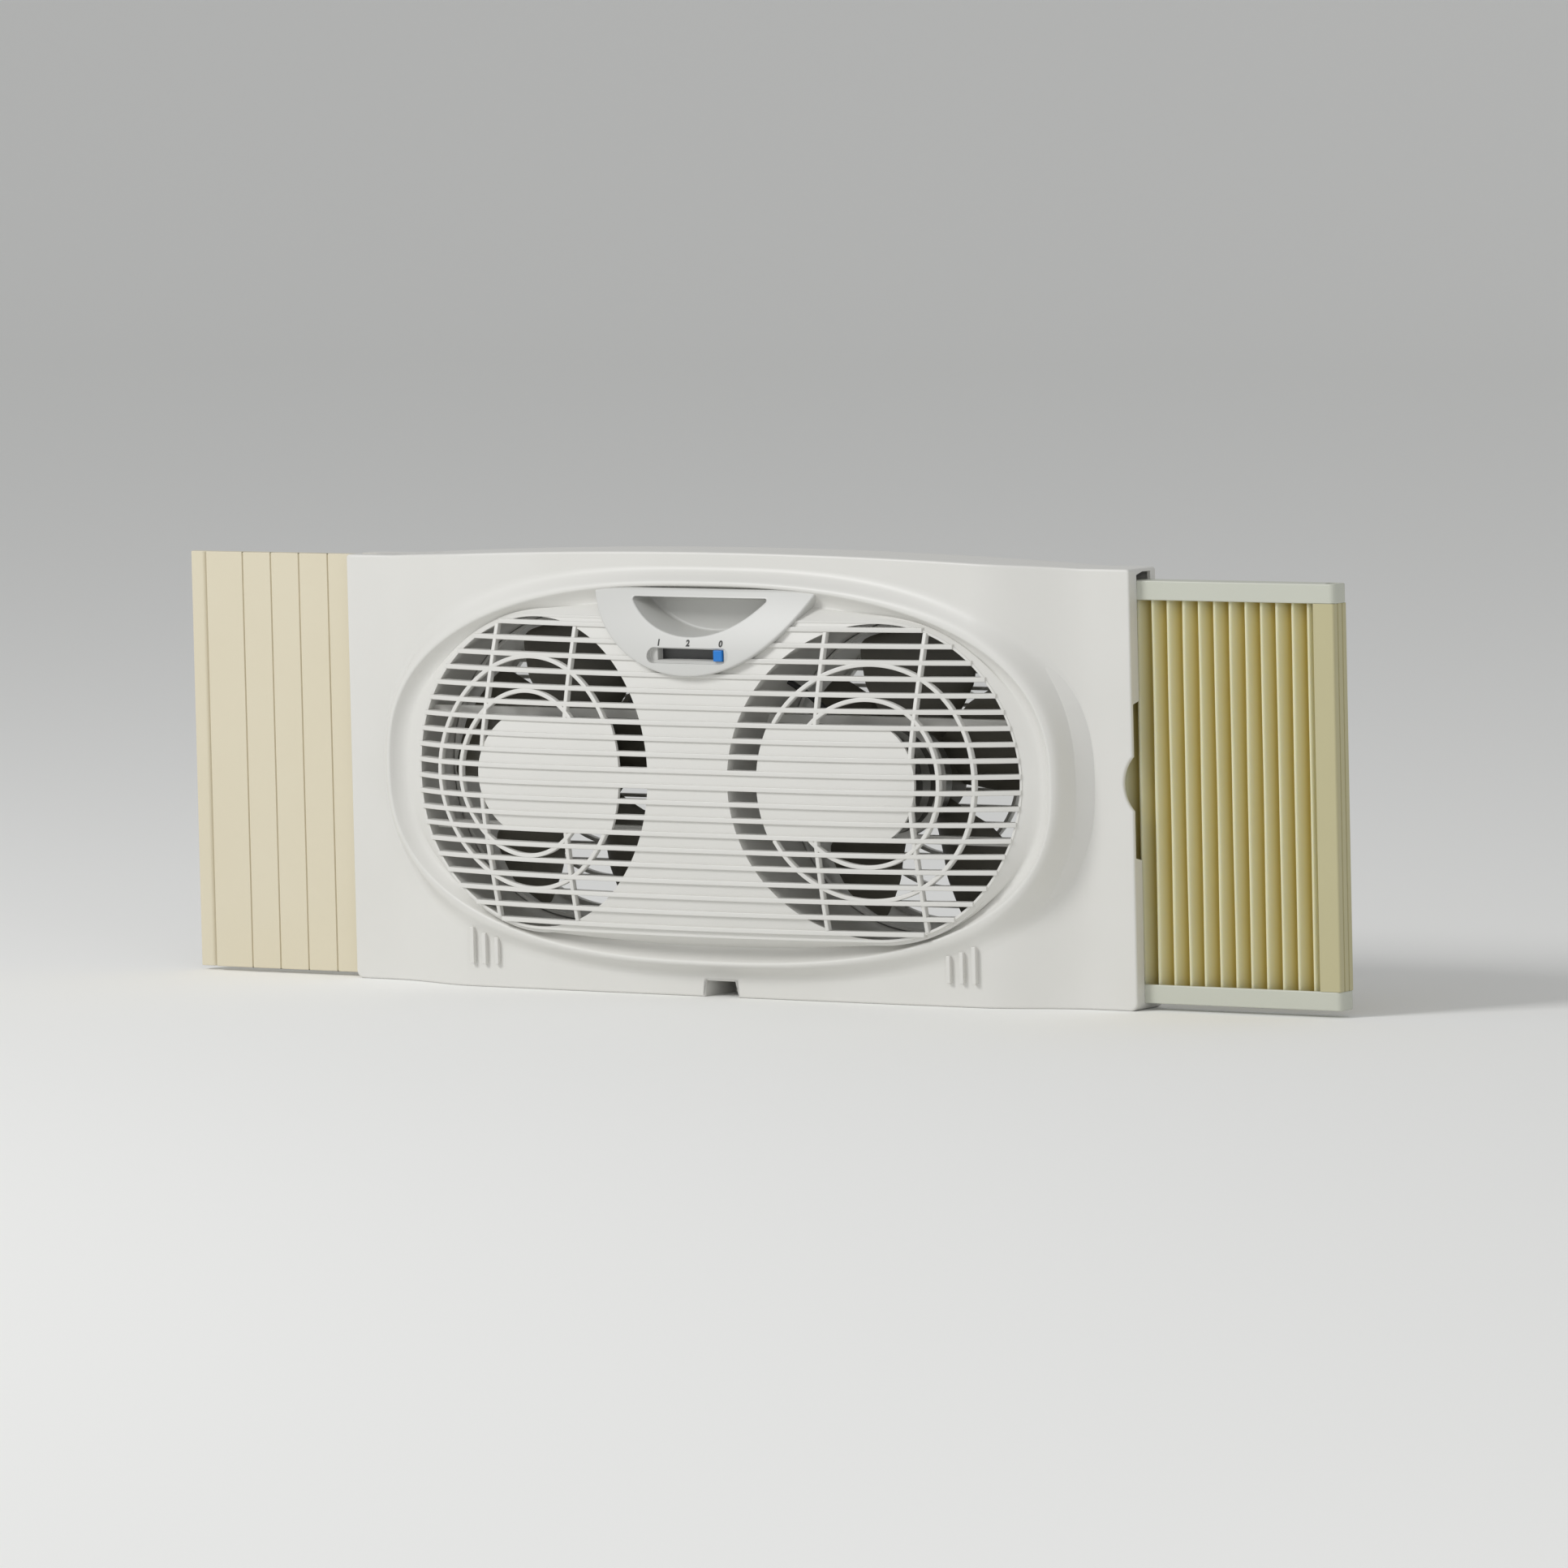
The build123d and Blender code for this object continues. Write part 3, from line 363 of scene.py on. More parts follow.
def lift(line, height):
    """Points of a front-view line at a height above the flange's face."""
    return np.stack([line[:, 0], -FLANGE - np.broadcast_to(height, len(line)), line[:, 1]], 1)


def shell_rings():
    """Closed rings of the shell, one below another: up the dish from the grille's edge, over the lip, down
    its slope, across the face, round the outer edge, and back on the inside."""
    edge = housing_outline()
    facing = outward(edge)
    lip = lip_line(np.arctan2(edge[:, 1] - FAN_Z, edge[:, 0]))
    normal = outward(lip)
    inner = grille_edge(lip, GRILLE_HALF_HEIGHT - 0.4)
    under = (inner[:, 1] > FAN_Z) & (np.abs(inner[:, 0]) < CONTROL_HALF)
    middle = np.array((0, FAN_Z))
    reach = (CONTROL_Z - FAN_Z) / (lip[:, 1] - FAN_Z)
    inner = np.where(under[:, None], middle + (lip - middle) * reach[:, None], inner)
    share = lip_share(lip[:, 0])
    crest = LIP_HEIGHT[0] + (LIP_HEIGHT[1] - LIP_HEIGHT[0]) * share
    slope = (LIP_SLOPE[0] + (LIP_SLOPE[1] - LIP_SLOPE[0]) * share)[:, None]
    low = crest - DISH_DEPTH
    start = np.where(under, low, dome(*inner.T) - 1.5)
    width = np.hypot(*(lip - inner).T)[:, None]
    inwards = (inner - lip) / width

    def dish(share_in):
        return lip + (inner - lip) * share_in

    def out(share_out, sink):
        line = lip + normal * slope * share_out
        base = swell(line[:, 0])
        return lift(line, base + (crest - base) * sink)

    near = np.minimum(DISH_WIDTH / width, 0.9)
    dish_rows = rounded(np.stack([
        lift(inner, start), lift(inner, start), lift(dish(0.8), start - (start - low) * 0.4),
        lift(dish(0.62), start - (start - low) * 0.8), lift(dish(near), low - 0.2),
        lift(dish(near * 0.66), low + 0.9), lift(dish(near * 0.38), low + 3.4),
        lift(lip + inwards * 2.0, crest - 1.3), lift(lip + inwards * 0.8, crest),
        lift(lip + normal * 1.2, crest), out(0.26, 0.86), out(0.5, 0.42),
        out(0.74, 0.1), out(1.0, 0.0), out(1.15, 0.0)]), DISH_ROWS)
    foot = lip + normal * slope * 1.15
    rim = edge - facing * EDGE_ROUND
    across = np.linspace(0, 1, FACE_ROWS)[1:, None]
    face_rows = [lift(foot + (rim - foot) * s, swell((foot + (rim - foot) * s)[:, 0])) for s in across]
    behind = [foot + (edge - facing * WALL - foot) * s for s in across[-4::-4]]
    top = swell(edge[:, 0])
    edge_rows = []
    for angle in np.radians((22.5, 45, 67.5, 90)):
        line = edge - facing * EDGE_ROUND * (1 - np.sin(angle))
        edge_rows.append(lift(line, top - EDGE_ROUND * (1 - np.cos(angle))))
    depth = wall_depth(edge)
    inside = edge - facing * WALL
    back_rows = [lift(edge, depth), lift(inside, depth), lift(inside, np.maximum(top - WALL, depth)),
                 *(lift(line, swell(line[:, 0]) - WALL) for line in behind),
                 lift(foot, swell(foot[:, 0]) - WALL), lift(lip, crest - 5.0),
                 lift(dish(near * 0.38), low + 1.0), lift(dish(near), low - WALL),
                 lift(inner, start - WALL)]
    return np.stack([*dish_rows, *face_rows, *edge_rows, *back_rows])


def panel_mouth(edge):
    """Where the left panel slides in along the outline: the left side, and the top beside it."""
    x, z = edge.T
    top = (x < PANEL_MOUTH_X) & (z > END_HEIGHT - TOP_CORNER - 1)
    return ((x < LOW_CORNER - WIDTH / 2) & (z > 0.5)) | top


def wall_depth(edge):
    """Height of the side wall's back edge over the flange's face: minus 18 where it meets the rear shell,
    and less deep where the expander and the left panel slide in."""
    x, z = edge.T
    right = x > WIDTH / 2 - 9
    depth = np.full(len(edge), -FLANGE)
    depth[right & (z > MOUTH_Z[0]) & (z < MOUTH_Z[1])] = 7.8 - FLANGE
    depth[right & (z > SIDE_CUT_Z[0]) & (z < SIDE_CUT_Z[1])] = -WALL
    depth[panel_mouth(edge)] = 7.7 - FLANGE
    return depth


# ABS from a finely spark-eroded mould: an even off-white with a soft, broad gloss.
housing_plastic = moulded("satin_moulded_ABS", "#DFDEDA", "#DAD9D4", 0.42)
front_shell = piece("housing_front", [wrapped(shell_rings())], housing_plastic, "housing")
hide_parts("front_shell")


# Three short upright ribs stand on each side of the housing's foot, moulded in one with the face; their
# upper ends run into the slope of the oval lip.
FOOT_RIBS = ((194.5, 36.5), (205.5, 39.5), (216.0, 43.5))     # place across, and height of the upper end
FOOT_RIB_LOW = 17.0
FOOT_RIB_WIDTH = 3.4
FOOT_RIB_FRONT = 23.8
FOOT_RIB_ROOT = 15.0


def rectangle(across, along, corner, steps=4):
    """Anticlockwise outline of a rectangle whose corners are arcs."""
    angle = np.radians(np.concatenate([np.linspace(a, a + 90, steps + 1) for a in (-90, 0, 90, 180)]))
    x = np.repeat([across[1] - corner] * 2 + [across[0] + corner] * 2, steps + 1)
    y = np.repeat([along[0] + corner] + [along[1] - corner] * 2 + [along[0] + corner], steps + 1)
    return np.stack([x + corner * np.cos(angle), y + corner * np.sin(angle)], 1)


def drawn_in(rows):
    """Closed surface of closed rows, whose first and last row are drawn in to their middle points."""
    middle = np.broadcast_to(rows.mean(1, keepdims=True), rows.shape)
    rows = np.concatenate([middle[:1], rows, middle[-1:]])
    return rows.reshape(-1, 3), loops(*rows.shape[:2], False, True)


def pillow(outline, low, high, edge, axes=(0, 1, 2), steps=3):
    """Prism of an anticlockwise outline between two heights, whose rims are quarter-round. The axes say
    which of the outline's first, second and the height go to X, Y and Z."""
    facing = outward(outline)
    turn = np.radians(np.linspace(0, 90, steps + 1))
    inset = edge * (1 - np.sin(turn))
    rise = edge * (1 - np.cos(turn))
    inset = np.concatenate([inset, inset[::-1]])[:, None, None]
    height = np.concatenate([low + rise, high - rise[::-1]])[:, None, None]
    height = np.broadcast_to(height, (len(height), len(outline), 1))
    rows = np.concatenate([outline - facing * inset, height], 2)
    return drawn_in(rows[:, :, np.array(axes)])


foot_ribs = []
for side in (-1, 1):
    for place, top in FOOT_RIBS:
        outline = rectangle((side * place - FOOT_RIB_WIDTH / 2, side * place + FOOT_RIB_WIDTH / 2),
                            (FOOT_RIB_LOW, top), 0.8, 3)
        foot_ribs.append(pillow(outline, -FLANGE - FOOT_RIB_FRONT, -FLANGE - FOOT_RIB_ROOT, 0.5, (0, 2, 1)))
piece("foot_ribs", foot_ribs, housing_plastic, "housing")


# === Front grille ===
# One domed moulding of the same ABS: twenty level bars run across both fans, crossed in each opening by
# two rings and two upright ribs. A plain web joins the openings, and a hub plate covers each motor.
BAR_COUNT = 20
BAR_PITCH = 11.3
BAR_WIDTH = 3.5
BAR_DEPTH = 8.0
BAR_EDGE = 0.7
BAR_REACH = 113.2              # radius about each fan's axis at which the bars end
RIB_RINGS = (83.5, 59.2)       # radii of the two rings
RIB_OFFSET = 38.2              # of the upright ribs from each fan's axis
RIB_REACH = 112.3
RIB_WIDTH = 3.2
RIB_DEPTH = 4.0
RIB_RECESS = 0.4               # how far the ribs lie behind the bars' front
WEB_RECESS = 2.0               # how far the web and the hub plates do
WEB_THICK = 2.5
HUB_HALF = 3.5 * BAR_PITCH     # half height of the hub plates
HUB_IN = 59.0                  # from the grille's middle to their inner and outer sides, which are arcs
HUB_OUT = 187.2
HUB_IN_RADIUS = 95.0
HUB_OUT_RADIUS = 45.0
RIM_REACH = 112.5
RIM_RECESS = 1.4
RIM_DEPTH = 13.0
COLLAR_RADII = (111.6, 116.0)
BEZEL_MIDDLE_Z = 338.0         # centre of the control bezel's arc, above the housing
BEZEL_ROOM = 104.0             # the grille is open inside this radius, behind the bezel


def section(width, depth, edge):
    """Rectangle whose two front edges are cut by a steep and a shallow chamfer."""
    half = width / 2
    side = np.array([(half, -depth), (half, -1.3 * edge),
                     (half - 0.3 * edge, -0.35 * edge), (half - edge, 0)])
    return np.concatenate([side * (-1, 1), side[::-1]])


def carried(line, across, profile, recess=0.0, closed=False):
    """Bar or rib on the dome: its section is carried along a front-view line, so much across the line and
    so much in front of the dome, less the recess. Open ends are drawn in to a point."""
    place = line[:, None] + np.broadcast_to(across, line.shape)[:, None] * profile[None, :, :1]
    height = dome(*line.T)[:, None] - np.broadcast_to(recess, len(line))[:, None] + profile[None, :, 1]
    rows = np.stack([place[..., 0], -FLANGE - height, place[..., 1]], 2)
    return wrapped(rows) if closed else drawn_in(rows)


def plate(z, left, right, recess, columns=30):
    """Closed plate behind the dome's surface: each row runs from left to right in front and back again
    behind it."""
    share = np.linspace(0, 1, columns)
    x = left[:, None] + (right - left)[:, None] * share
    z = np.broadcast_to(z[:, None], x.shape)
    front = np.stack([x, recess - FLANGE - dome(x, z), z], 2)
    return drawn_in(np.concatenate([front, front[:, ::-1] + (0, WEB_THICK, 0)], 1))


def bezel_room(z):
    """Half width of the room behind the control bezel at a height, none below its lowest point."""
    return np.sqrt(np.maximum(BEZEL_ROOM ** 2 - (BEZEL_MIDDLE_Z - z) ** 2, 0))


def hub_sides(z):
    """Inner and outer edge of a hub plate, both arcs, at a height."""
    rise = z - FAN_Z
    return (HUB_IN + HUB_IN_RADIUS - np.sqrt(HUB_IN_RADIUS ** 2 - rise ** 2),
            HUB_OUT - HUB_OUT_RADIUS + np.sqrt(HUB_OUT_RADIUS ** 2 - rise ** 2))


def web_side(z):
    """Half width of the web between the two round openings at a height."""
    return FAN_X - np.sqrt(np.maximum(OPENING_RADIUS ** 2 - (z - FAN_Z) ** 2, 0))


def sunk(line):
    """Recess of a rib along a line: where it meets a hub plate it dips just under the plate's face."""
    x = np.abs(line[:, 0])
    z = np.clip(line[:, 1], FAN_Z - HUB_HALF, FAN_Z + HUB_HALF)
    near, far = hub_sides(z)
    under = (np.abs(line[:, 1] - FAN_Z) < HUB_HALF) & (x > near) & (x < far)
    return np.where(under, WEB_RECESS + 0.6, RIB_RECESS)


def bars():
    """All level bars; the upper ones stop at the control bezel."""
    profile = section(BAR_WIDTH, BAR_DEPTH, BAR_EDGE)
    made = []
    for z in FAN_Z + (np.arange(BAR_COUNT) - (BAR_COUNT - 1) / 2) * BAR_PITCH:
        end = FAN_X + np.sqrt(BAR_REACH ** 2 - (z - FAN_Z) ** 2)
        gap = bezel_room(z)
        for start, stop in ((-end, -gap), (gap, end)) if gap else ((-end, end),):
            x = np.linspace(start, stop, int((stop - start) / 5) + 2)
            made.append(carried(np.stack([x, np.full(len(x), z)], 1), (0, 1), profile))
    return made


def circle(place, radius, steps=180):
    """Points on a circle, anticlockwise."""
    turn = np.linspace(0, 2 * np.pi, steps + 1)[:-1]
    return np.stack([place[0] + radius * np.cos(turn), place[1] + radius * np.sin(turn)], 1)


def ribs(side):
    """Two rings and two upright ribs of one opening."""
    profile = section(RIB_WIDTH, RIB_DEPTH, BAR_EDGE)
    made = []
    for radius in RIB_RINGS:
        line = circle((side * FAN_X, FAN_Z), radius)
        made.append(carried(line, circle((0, 0), 1), profile, sunk(line), True))
    for offset in (-RIB_OFFSET, RIB_OFFSET):
        reach = np.sqrt(RIB_REACH ** 2 - offset ** 2)
        z = np.linspace(FAN_Z - reach, FAN_Z + reach, 91)
        line = np.stack([np.full(len(z), side * FAN_X + offset), z], 1)
        made.append(carried(line, (1, 0), profile, sunk(line)))
    return made


def web():
    """Web between the openings, in one piece up to the control bezel and in two beside it."""
    reach = GRILLE_HALF_HEIGHT - 0.3
    split = np.arcsin((BEZEL_MIDDLE_Z - BEZEL_ROOM - FAN_Z) / OPENING_RADIUS)
    low = FAN_Z + np.concatenate([[-reach], OPENING_RADIUS * np.sin(np.linspace(-np.pi / 2, split, 60))])
    high = FAN_Z + np.concatenate([OPENING_RADIUS * np.sin(np.linspace(split, np.pi / 2, 40)), [reach]])
    side, room = web_side(high), bezel_room(high)
    return [plate(low, -web_side(low), web_side(low), WEB_RECESS, 50),
            plate(high, -side, -room, WEB_RECESS), plate(high, room, side, WEB_RECESS)]


def hub_plates():
    """Hub plate of each opening, and the short spoke that ties it to the web."""
    made = []
    z = np.linspace(FAN_Z - HUB_HALF, FAN_Z + HUB_HALF, 41)
    spoke = np.linspace(FAN_Z - BAR_PITCH / 2, FAN_Z + BAR_PITCH / 2, 5)
    near, far = hub_sides(z)
    start, stop = web_side(spoke) - 0.05, hub_sides(spoke)[0] + 0.05
    for heights, a, b, recess in ((z, near, far, WEB_RECESS), (spoke, start, stop, WEB_RECESS + 0.02)):
        made += [plate(heights, a, b, recess), plate(heights, -b, -a, recess)]
    return made


def rim():
    """Narrow rim round the grille, open at the control bezel."""
    top, low = FAN_Z + RIM_REACH, FAN_Z - RIM_REACH
    start = bezel_room(top)
    line = np.concatenate([
        straight((start, top), (FAN_X, top), 4.0), bend((FAN_X, FAN_Z), RIM_REACH, 90, -90, 100),
        straight((FAN_X, low), (-FAN_X, low), 4.0), bend((-FAN_X, FAN_Z), RIM_REACH, 270, 90, 100),
        straight((-FAN_X, top), (-start, top), 4.0), [(-start, top)]])
    across = grille_edge(line, RIM_REACH + 1) - grille_edge(line, RIM_REACH)
    return carried(line, across, section(2.0, RIM_DEPTH, 0.3), RIM_RECESS)


def collar(side):
    """Round wall that leads the air from an opening back to the rear shell."""
    inner, outer = (circle((side * FAN_X, FAN_Z), radius) for radius in COLLAR_RADII)
    depth = WEB_RECESS + WEB_THICK - 0.3
    return wrapped(np.stack([lift(inner, dome(*inner.T) - depth), lift(outer, dome(*outer.T) - depth),
                             lift(outer, -FLANGE), lift(inner, -FLANGE)]))


grille = piece("grille", [*bars(), *ribs(-1), *ribs(1), *web(), *hub_plates(), rim()],
               housing_plastic, "housing")
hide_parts("front_grille")
collars = piece("duct_collars", [collar(-1), collar(1)], housing_plastic, "housing")
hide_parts("left_inlet_ring")
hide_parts("right_inlet_ring")


# === Control bezel and hand-hold ===
# A D-shaped moulding snapped over the grille's top. It leans forwards to its foot; its opening leads into
# a deep cup for the fingertips, and a round-ended slot below carries the speed slider.
BEZEL_RADIUS = 106.0
BEZEL_TOP = 293.2
BEZEL_CORNER = 1.6
BEZEL_EDGE = 1.5
BEZEL_BACK = 26.0
BEZEL_THICK = 2.5
BEZEL_EYE_Z = 276.0            # level of the point about which the bezel's rings are spread
CUP = (78.0, 287.0, 1.5)       # radius, top and corner of the hand-hold
CUP_FLOOR = 18.0
CUP_UNDER = 16.4               # the floor's underside
CUP_SIDE = 24.0                # the front edge of the wall's outside
CUP_DRAFT = 1.6
SLOT_HALF = 34.8
SLOT_Z = 246.7
SLOT_RADIUS = 5.6
SLOT_CUT = (-90.0, -60.0)      # the cutter's front and back, along Y
CUTTER_EDGE = 0.01             # all cutters are blunted by this, so that no edge is degenerate


def dee(inset, radius=BEZEL_RADIUS, top=BEZEL_TOP, corner=BEZEL_CORNER):
    """Outline like a capital D on its back, drawn in by an inset: an arc about the bezel's centre, cut off
    by a level chord, with round corners."""
    radius, top, corner = radius - inset, top - inset, max(corner - inset, 0.3)
    drop = BEZEL_MIDDLE_Z - top + corner
    x = np.sqrt((radius - corner) ** 2 - drop ** 2)
    lean = np.degrees(np.arctan2(-drop, x))
    return np.concatenate([
        bend((0, BEZEL_MIDDLE_Z), radius, -180 - lean, lean, 150),
        bend((x, top - corner), corner, lean, 90, 8), straight((x, top), (-x, top), 3.0),
        bend((-x, top - corner), corner, 90, 180 - lean, 8)])


def bezel_front(line):
    """Height of the bezel's face over the flange: a curve that comes forwards towards its foot, less a
    crown across its width."""
    down = (292.0 - line[:, 1]) / 64
    return 37.0 + 39.4 * down - 17.4 * down ** 2 - 6.0 * (line[:, 0] / 95) ** 2


def bearing(line, eye):
    """Directions of a line's points from a middle point."""
    return np.arctan2(line[:, 1] - eye[1], line[:, 0] - eye[0])


def bezel_rings():
    """Closed rings from the back of the cup's edge, over the face, round the outer edge and back inside."""
    eye = (0, BEZEL_EYE_Z)
    spread = np.unique(np.concatenate([bearing(dee(0), eye), bearing(dee(0, *CUP), eye)]))

    def ring(sink, *shape):
        line = in_directions(dee(*shape), eye, spread)
        return lift(line, bezel_front(line) - sink)

    inner, outer = (in_directions(dee(*s), eye, spread) for s in ((-1.0, *CUP), (BEZEL_EDGE,)))
    share = np.linspace(0, 1, 16)[:, None]
    face = [lift(line, bezel_front(line)) for line in (inner + (outer - inner) * s for s in share)]
    side = in_directions(dee(0), eye, spread)
    behind = in_directions(dee(BEZEL_THICK), eye, spread)
    return np.stack([
        ring(7.0, 0, *CUP), ring(1.0, 0, *CUP), ring(0.45, -0.15, *CUP), ring(0.12, -0.45, *CUP), *face,
        ring(0.12, BEZEL_EDGE * 0.62), ring(0.44, BEZEL_EDGE * 0.29), ring(0.93, BEZEL_EDGE * 0.08),
        ring(BEZEL_EDGE, 0), lift(side, BEZEL_BACK), lift(behind, BEZEL_BACK),
        lift(behind, np.maximum(bezel_front(behind) - BEZEL_THICK, BEZEL_BACK)),
        ring(7.0, -BEZEL_THICK, *CUP)])


def stadium(grow):
    """Outline of the slider's slot, grown all round."""
    reach, radius = SLOT_HALF - SLOT_RADIUS, SLOT_RADIUS + grow
    top, low = SLOT_Z + radius, SLOT_Z - radius
    return np.concatenate([
        bend((reach, SLOT_Z), radius, -90, 90, 16), straight((reach, top), (-reach, top)),
        bend((-reach, SLOT_Z), radius, 90, 270, 16), straight((-reach, low), (reach, low))])


def evaluated(made):
    """New mesh of an object with its modifiers applied, or of its text."""
    return bpy.data.meshes.new_from_object(made.evaluated_get(bpy.context.evaluated_depsgraph_get()))


def cut(made, grids):
    """Take closed cutters out of a piece, before its normals are evened out."""
    cutter = put("cutter", surface("cutter", grids))
    carve = made.modifiers.new("carve", "BOOLEAN")
    carve.object = cutter
    carve.solver = "MANIFOLD"
    made.modifiers.move(len(made.modifiers) - 1, 0)
    even = made.modifiers["even_shading"]
    even.show_viewport = False
    made.data = evaluated(made)
    even.show_viewport = True
    made.modifiers.remove(carve)
    bpy.data.objects.remove(cutter)


# The same ABS from a smoother mould, with a slightly clearer gloss. Its colour is a shade greyer as painted
# shade, to offset the light on faces that lean up.
bezel_plastic_painted_shade = moulded("satin_moulded_ABS_painted_shade", "#CDCDCA", "#C9C9C5", 0.4)
bezel = piece("bezel", [wrapped(bezel_rings())], bezel_plastic_painted_shade, "housing")
cut(bezel, [pillow(stadium(0), *SLOT_CUT, CUTTER_EDGE, (0, 2, 1))])
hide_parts("control_bezel")


def cup_rings():
    """Cup: down its drafted wall, round into the floor and in to the middle, and back round its outside."""
    eye = np.array((0, BEZEL_EYE_Z))
    spread = np.unique(bearing(dee(0, *CUP), eye))

    def ring(inset, height):
        return lift(in_directions(dee(inset, *CUP), eye, spread), height)

    rim = in_directions(dee(-0.1, *CUP), eye, spread)
    floor = in_directions(dee(CUP_DRAFT + 2.2, *CUP), eye, spread)
    shares = (0.85, 0.65, 0.4, 0.15)
    inside = [lift(eye + (floor - eye) * s, CUP_FLOOR) for s in reversed(shares)]
    inside += [ring(CUP_DRAFT + 2.2, CUP_FLOOR), ring(CUP_DRAFT + 1.1, CUP_FLOOR + 0.2),
               ring(CUP_DRAFT + 0.4, CUP_FLOOR + 0.9), ring(CUP_DRAFT, CUP_FLOOR + 2.0),
               lift(rim, bezel_front(rim) - 0.9)]
    outside = [ring(-2.0, CUP_SIDE), ring(-2.0, CUP_UNDER)]
    outside += [lift(eye + (floor - eye) * s, CUP_UNDER) for s in shares]
    return drawn_in(np.stack(inside + outside))


hand_cup = piece("hand_cup", [cup_rings()], bezel_plastic_painted_shade, "housing")
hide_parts("handle_cup")


# === Speed slider ===
# A shallow tray closes the slot from behind. Through its window the blue knob is pushed to 1, 2 or 0, and
# drives the contact carrier of the slide switch behind it. The numerals are printed.
WINDOW_X = (-28.2, 30.2)
WINDOW_Z = (242.9, 251.3)
TRAY_FLOOR = (50.6, 53.8)      # at the tray's left end and at its right end
TRAY_BACK = 44.0
TRAY_SILL = 0.8                # how far the window's lower wall rises behind the floor
KNOB_X = (22.3, 29.7)
KNOB_Z = (243.1, 251.1)
KNOB_Y = (-73.5, -68.46)
NUMERALS = (("1", -25.4), ("2", 0.0), ("0", 27.7))
NUMERAL_Z = 253.6
NUMERAL_HEIGHT = 4.4
NUMERAL_PROUD = 0.12           # of the bezel's face


def tray():
    """Dish behind the slot: its wall, its floor up to the window, and the window's walls, whose lower one
    rises in a shallow arc."""
    eye = (0.5, SLOT_Z - 0.3)
    window = rectangle(WINDOW_X, WINDOW_Z, 0.3, 2)
    spread = np.unique(np.concatenate([bearing(stadium(0), eye), bearing(window, eye)]))
    wide, near, floor = (in_directions(stadium(g), eye, spread) for g in (1.5, 0.12, -0.5))
    hole = in_directions(window, eye, spread)
    low = hole[:, 1] < eye[1]
    arc = np.sqrt(np.clip(1 - ((hole[:, 0] - 1) / 33) ** 2, 0, 1))
    raised = hole + np.stack([np.zeros(len(hole)), np.where(low, TRAY_SILL * arc, 0)], 1)

    def level(line):
        return np.interp(line[:, 0], (-SLOT_HALF, SLOT_HALF), TRAY_FLOOR)

    return wrapped(np.stack([
        lift(wide, TRAY_BACK), lift(wide, bezel_front(wide) - 1.6), lift(near, bezel_front(near) - 0.9),
        lift(near, level(near) + 0.6), lift(floor, level(floor)), lift(hole, level(hole)),
        lift(raised, level(raised) - 2.0), lift(raised, TRAY_BACK)]))


slider_tray = piece("slider_tray", [tray()], bezel_plastic_painted_shade, "housing")
# ABS from a polished mould, coloured through: a strong blue with a clear gloss.
knob_plastic = moulded("glossy_blue_ABS", "#1E7DD2", "#1B74C6", 0.3, relief=0.01)
knob = piece("slider_knob", [pillow(rectangle(KNOB_X, KNOB_Z, 0.6, 3), *KNOB_Y, 0.6, (0, 2, 1))],
             knob_plastic, "speed_slider")
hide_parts("speed_knob")
# Nylon looks dull and dark grey in its slot, and the printing ink is matt.
switch_plastic = moulded("dark_grey_moulded_nylon", "#5C5D5D", "#626362", 0.5)
numeral_ink = moulded("black_printing_ink", "#2E2E2C", "#353533", 0.55, relief=0.005)
for figure, place in NUMERALS:
    curve = bpy.data.curves.new("numeral_" + figure, "FONT")
    curve.body = figure
    curve.size = NUMERAL_HEIGHT / 0.72       # a figure is 0.72 of the letter size high
    curve.align_x = "CENTER"
    curve.extrude = 0.03
    curve.offset = 0.28                      # fattens the strokes
    holder = put("holder", curve)
    mesh = evaluated(holder)
    bpy.data.objects.remove(holder)
    merge(mesh, 1e-5, False)
    flat = np.empty(len(mesh.vertices) * 3)
    mesh.vertices.foreach_get("co", flat)
    flat = flat.reshape(-1, 3)
    line = flat[:, :2] + (place, NUMERAL_Z)
    placed = lift(line, bezel_front(line) + NUMERAL_PROUD + flat[:, 2])
    mesh.vertices.foreach_set("co", (placed / 1000).ravel())
    mesh.materials.clear()
    mesh.materials.append(numeral_ink)
    numeral = put("numeral_" + figure, mesh)
    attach(numeral, "housing")


def finish(material, *names):
    """Give carried-over nodes a material."""
    for name in names:
        nodes[name].data.materials.clear()
        nodes[name].data.materials.append(material)


finish(switch_plastic, "switch_body", "switch_carrier")


# === Rear shell of the housing ===
# The other half of the housing: its side of the flange, a shallow box with round corners, and the two
# ducts in which the impellers turn. Eight screws join it to the front shell from behind.
REAR_HALF = 290.0
REAR_Z = (24.0, 298.0)
REAR_CORNER = 14.0
REAR_DEPTH = 43.0
REAR_ROUND = 3.0
DUCT_RADII = (108.5, 111.0)
MOUTH_DEPTH = 10.6             # the side wall's front edge where the expander slides in
PANEL_DEPTH = 0.7              # and where the left panel does
GLAND_HOLE = (-275.0, 42.0)    # place and radius of the hole for the cord's gland
GLAND_RADIUS = 6.0
HOLE_CUT = (30.0, 50.0)        # the cutters' front and back, along Y
SCREW_PLACES = ((-258, 60, 43), (-258, 258, 43), (258, 60, 43), (258, 258, 43),
                (-110, 12, 18), (110, 12, 18), (-110, 309.5, 18), (110, 309.5, 18))
SCREW_WELL = (3.2, 2.0)        # radius and depth of the round wells for the screws' heads


